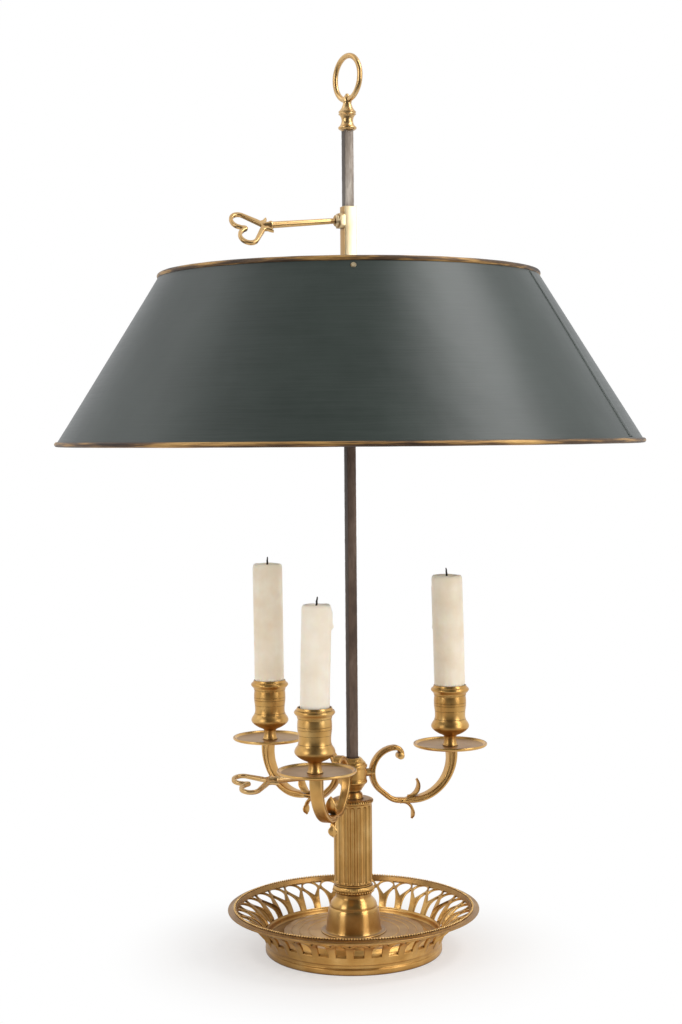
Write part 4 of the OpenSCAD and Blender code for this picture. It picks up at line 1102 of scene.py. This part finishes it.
def candle_build(place, top, r, drips, seed):
    """A candle with a wavy lip, a slight swell and drips down its side."""
    start = CUP_MOUTH + 1.6
    end = top - 5

    def body(a, rr, z):
        if rr < r - 1.2 or z < CUP_MOUTH + 1:
            return rr, z
        swell = 0.16 * noise.noise(Vector((cos(a) * 1.3, sin(a) * 1.3, z * 0.03 + seed)))
        for azimuth, high, low, width, proud in drips:
            off = (a - radians(azimuth) + pi) % (2 * pi) - pi
            side = off * r / width
            if abs(side) > 2.2:
                continue
            span = smooth((z - low) / 3) * (1 - smooth((z - high) / 2.5))
            blob = 1 + 0.7 * (1 - smooth(abs(z - low - 3) / 4))
            swell += proud * span * blob * max(0.0, cos(side * pi / 4.4)) ** 2
        return rr + swell, z

    def lip(a, z):
        return z + 0.75 * noise.noise(Vector((cos(a) * 0.9, sin(a) * 0.9, seed * 3.1)))

    rows = [(0, CANDLE_FOOT), (9.0, CANDLE_FOOT), (9.5, CANDLE_PIVOT), (min(r, 11.3), CUP_MOUTH),
            (r, CUP_MOUTH + 0.9)]
    steps = int((top - 4 - CUP_MOUTH) / 1.2)
    rows += [(r, start + (end - start) * k / steps) for k in range(steps + 1)]
    rows += [(r, top - 3.2), (r - 0.15, top - 1.9), (r - 0.6, top - 0.8), (r - 1.4, top),
             (r - 2.3, top - 0.1), (r - 3.2, top - 0.7), (r - 4.6, top - 1.5), (3.2, top - 2.0),
             (1.2, top - 1.8), (0, top - 1.7)]

    def warp(a, rr, z):
        rr, zz = body(a, rr, z)
        return (rr, lip(a, zz)) if z > top - 4 and rr > 3.5 else (rr, zz)

    return Build().add(*lathe(rows, 96, warp), place)


def wick_build(place, top, bend, bend_to):
    """A twisted wick that thins upwards, its tip bent aside towards the azimuth bend_to."""
    rings = []
    for k in range(19):
        f = k / 18
        x, y = (bend * f * f * side(radians(bend_to)) for side in (cos, sin))
        z = top - 2.6 + 8.1 * f
        rad = 0.72 * (1 - 0.45 * f ** 3)
        twist = f * 5.0
        ring = []
        for m in range(12):
            a = 2 * pi * m / 12
            rr = rad * (1 + 0.16 * cos(3 * (a - twist)))
            ring.append((x + rr * cos(a), y + rr * sin(a), z))
        rings.append(ring)
    return Build().add(*tube(rings), place)


# Per side: the arm's azimuth and reach, the cup's shift along X, the wax, the candle's top, radius
# and lean, the wick's bend and its azimuth, the drips as (azimuth, high, low, width, proud).
SIDES = {
    "right": (18, 78.5, 0.0, WAX_SIDE, 279.0, 11.7, -1.2, 0.5, 200,
              [(-32, 262, 250, 1.7, 0.5), (160, 270, 236, 1.5, 0.6)]),
    "back": (138, 87.0, 0.9, WAX_SIDE, 286.0, 11.5, -0.5, 0.4, -60,
             [(-120, 280, 262, 1.6, 0.5), (-40, 276, 258, 1.5, 0.7)]),
    "front": (252, 82.5, -1.2, WAX_FRONT, 267.6, 10.5, 1.4, 0.6, -20,
              [(-8, 262, 249, 1.8, 1.1), (-30, 240, 226, 1.4, 0.5)]),
}
CANDLE_PIVOT = 186.0


def arm_pieces():
    hub_piece()
    pan = [(2, 0, 1), (14, 0, 1), (23, 0.5), (26.4, 1), (27.5, 1.5), (PAN_R, 2.2), (PAN_R, 3), (27.5, 3.4),
           (26.6, 3.2), (25.7, 2.3), (24.4, 1.75), (20, 1.5), (14, 1.3), (8, 1.2, 1), (2, 1.2, 1)]
    cup = cup_outline()
    stud = [(0, 0), (1.95, 0), (1.95, 6.6), (0, 6.6)]
    for side, (azimuth, reach, off, wax, top, r, lean, bend, bend_to, drips) in SIDES.items():
        x, y = reach * cos(radians(azimuth)), reach * sin(radians(azimuth))
        build = arm_build(azimuth, reach)
        piece(f"arm_cast_{side}", build, GILT_CAST, "arms", [f"arm_{side}"])
        turned(f"pan_turned_{side}", f"pan_{side}", flowing(pan, 4), GILT_PAN, "arms", "gilt_bronze", 128)
        build = Build().add(*lathe(soften(cup, 0.25), 112), Matrix.Translation((x + off, y, CUP_Z)))
        build.add(*lathe(stud, 24), Matrix.Translation((x, y, PAN_Z - 5.2)))
        piece(f"cup_turned_{side}", build, GILT_TURNED, "arms", [f"cup_{side}"])
        stand = (Matrix.Translation((x + off, y, CANDLE_PIVOT)) @ Matrix.Rotation(radians(lean), 4, "Y")
                 @ Matrix.Translation((0, 0, -CANDLE_PIVOT)))
        body = f"candle_{side}"
        build = candle_build(stand, top, r, drips, azimuth * 0.1)
        piece(f"candle_wax_{side}", build, wax, body, [f"candle_{side}"], sharp=60)
        build = wick_build(stand, top, bend, bend_to)
        piece(f"wick_bent_{side}", build, WICK_CHAR, body, [f"wick_{side}"])


basket_pieces()
column_pieces()
rod_pieces()
shade_pieces()
key_pieces()
arm_pieces()

for node, material in (("base_washer", FIXING_IRON), ("base_nut", FIXING_IRON),
                       ("shade_rivets", PALE_BRASS_AND_HIGHLIGHT)):
    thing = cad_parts[node]
    thing.data.materials.clear()
    thing.data.materials.append(material)


# Floor, light and background ----------------------------------------------------------------

def floor_material():
    """A pale floor that runs into the white background away from the lamp."""
    s = Shader("floor_pale")
    tone = s.ramp(s.noise(240, 2), (0.3, 247, 242, 238), (0.7, 250, 245, 241))
    diffuse = s.add("ShaderNodeBsdfDiffuse", {"Color": tone, "Roughness": 0.0})
    rays = s.add("ShaderNodeLightPath")
    near = s.to_range(s.between(s.along("Y"), -0.75, -0.2), 0.12, 0.9)
    bright = s.maths("MAXIMUM", rays.outputs["Is Camera Ray"], near)
    white = s.add("ShaderNodeEmission", {"Color": (1, 1, 1, 1), "Strength": bright})
    seen = s.maths("MAXIMUM", rays.outputs["Is Camera Ray"], rays.outputs["Is Glossy Ray"])
    distance = s.add("ShaderNodeVectorMath", {0: s.where}, operation="LENGTH").outputs["Value"]
    far = s.times(s.to_range(s.between(distance, 0.06, 0.19), 0.46, 1.0), seen)
    mixed = s.add("ShaderNodeMixShader", {0: far, 1: diffuse.outputs[0], 2: white.outputs[0]})
    s.add("ShaderNodeOutputMaterial", {"Surface": mixed.outputs[0]})
    return s.material


FLOOR_SPAN = 6.0
floor_mesh = bpy.data.meshes.new("floor")
corners = [(FLOOR_SPAN * x, FLOOR_SPAN * y, 0) for x, y in ((-1, -1), (1, -1), (1, 1), (-1, 1))]
floor_mesh.from_pydata(corners, [], [(0, 1, 2, 3)])
floor_mesh.materials.append(floor_material())
floor = bpy.data.objects.new("floor", floor_mesh)
bpy.context.scene.collection.objects.link(floor)


LIT_POINT = Vector((0, 0, 0.3))
for name, at, width, height, watts in (
        ("softbox_left", (-1.7, -1.35, 0.95), 0.9, 1.5, 13.5),
        ("softbox_right", (1.8, -1.25, 0.95), 0.9, 1.5, 17),
        ("softbox_high_right", (1.15, -0.25, 1.95), 0.8, 1.1, 15),
        ("softbox_high_left", (-1.5, 0.2, 1.8), 0.8, 1.1, 2.5)):
    lamp = bpy.data.lights.new(name, "AREA")
    lamp.shape = "RECTANGLE"
    lamp.size, lamp.size_y = width, height
    lamp.energy = watts
    softbox = bpy.data.objects.new(name, lamp)
    softbox.location = at
    softbox.rotation_euler = (LIT_POINT - Vector(at)).to_track_quat("-Z", "Y").to_euler()
    bpy.context.scene.collection.objects.link(softbox)

world = bpy.data.worlds.new("studio")
bpy.context.scene.world = world
world.use_nodes = True
tree = world.node_tree
tree.nodes.clear()


def background(strength, colour=(1, 1, 1, 1)):
    return add_node(tree, "ShaderNodeBackground", {"Color": colour, "Strength": strength}).outputs[0]


def either(ray, usual, other):
    """usual for most rays, other for those of one kind."""
    which = add_node(tree, "ShaderNodeLightPath").outputs[ray]
    return add_node(tree, "ShaderNodeMixShader", {0: which, 1: usual, 2: other}).outputs[0]


direction = add_node(tree, "ShaderNodeTexCoord").outputs["Generated"]
depth = add_node(tree, "ShaderNodeSeparateXYZ", {"Vector": direction}).outputs["Y"]
behind = add_node(tree, "ShaderNodeMapRange",
                  {"Value": depth, "From Min": -0.75, "From Max": 0.25, "To Min": 0.1, "To Max": 0.95},
                  interpolation_type="SMOOTHSTEP")
room = background(behind.outputs[0], (0.97, 0.98, 1, 1))
lit = either("Is Diffuse Ray", room, background(0.5))
add_node(tree, "ShaderNodeOutputWorld", {"Surface": either("Is Camera Ray", lit, background(1.0))})

bpy.context.scene.view_settings.view_transform = "Standard"
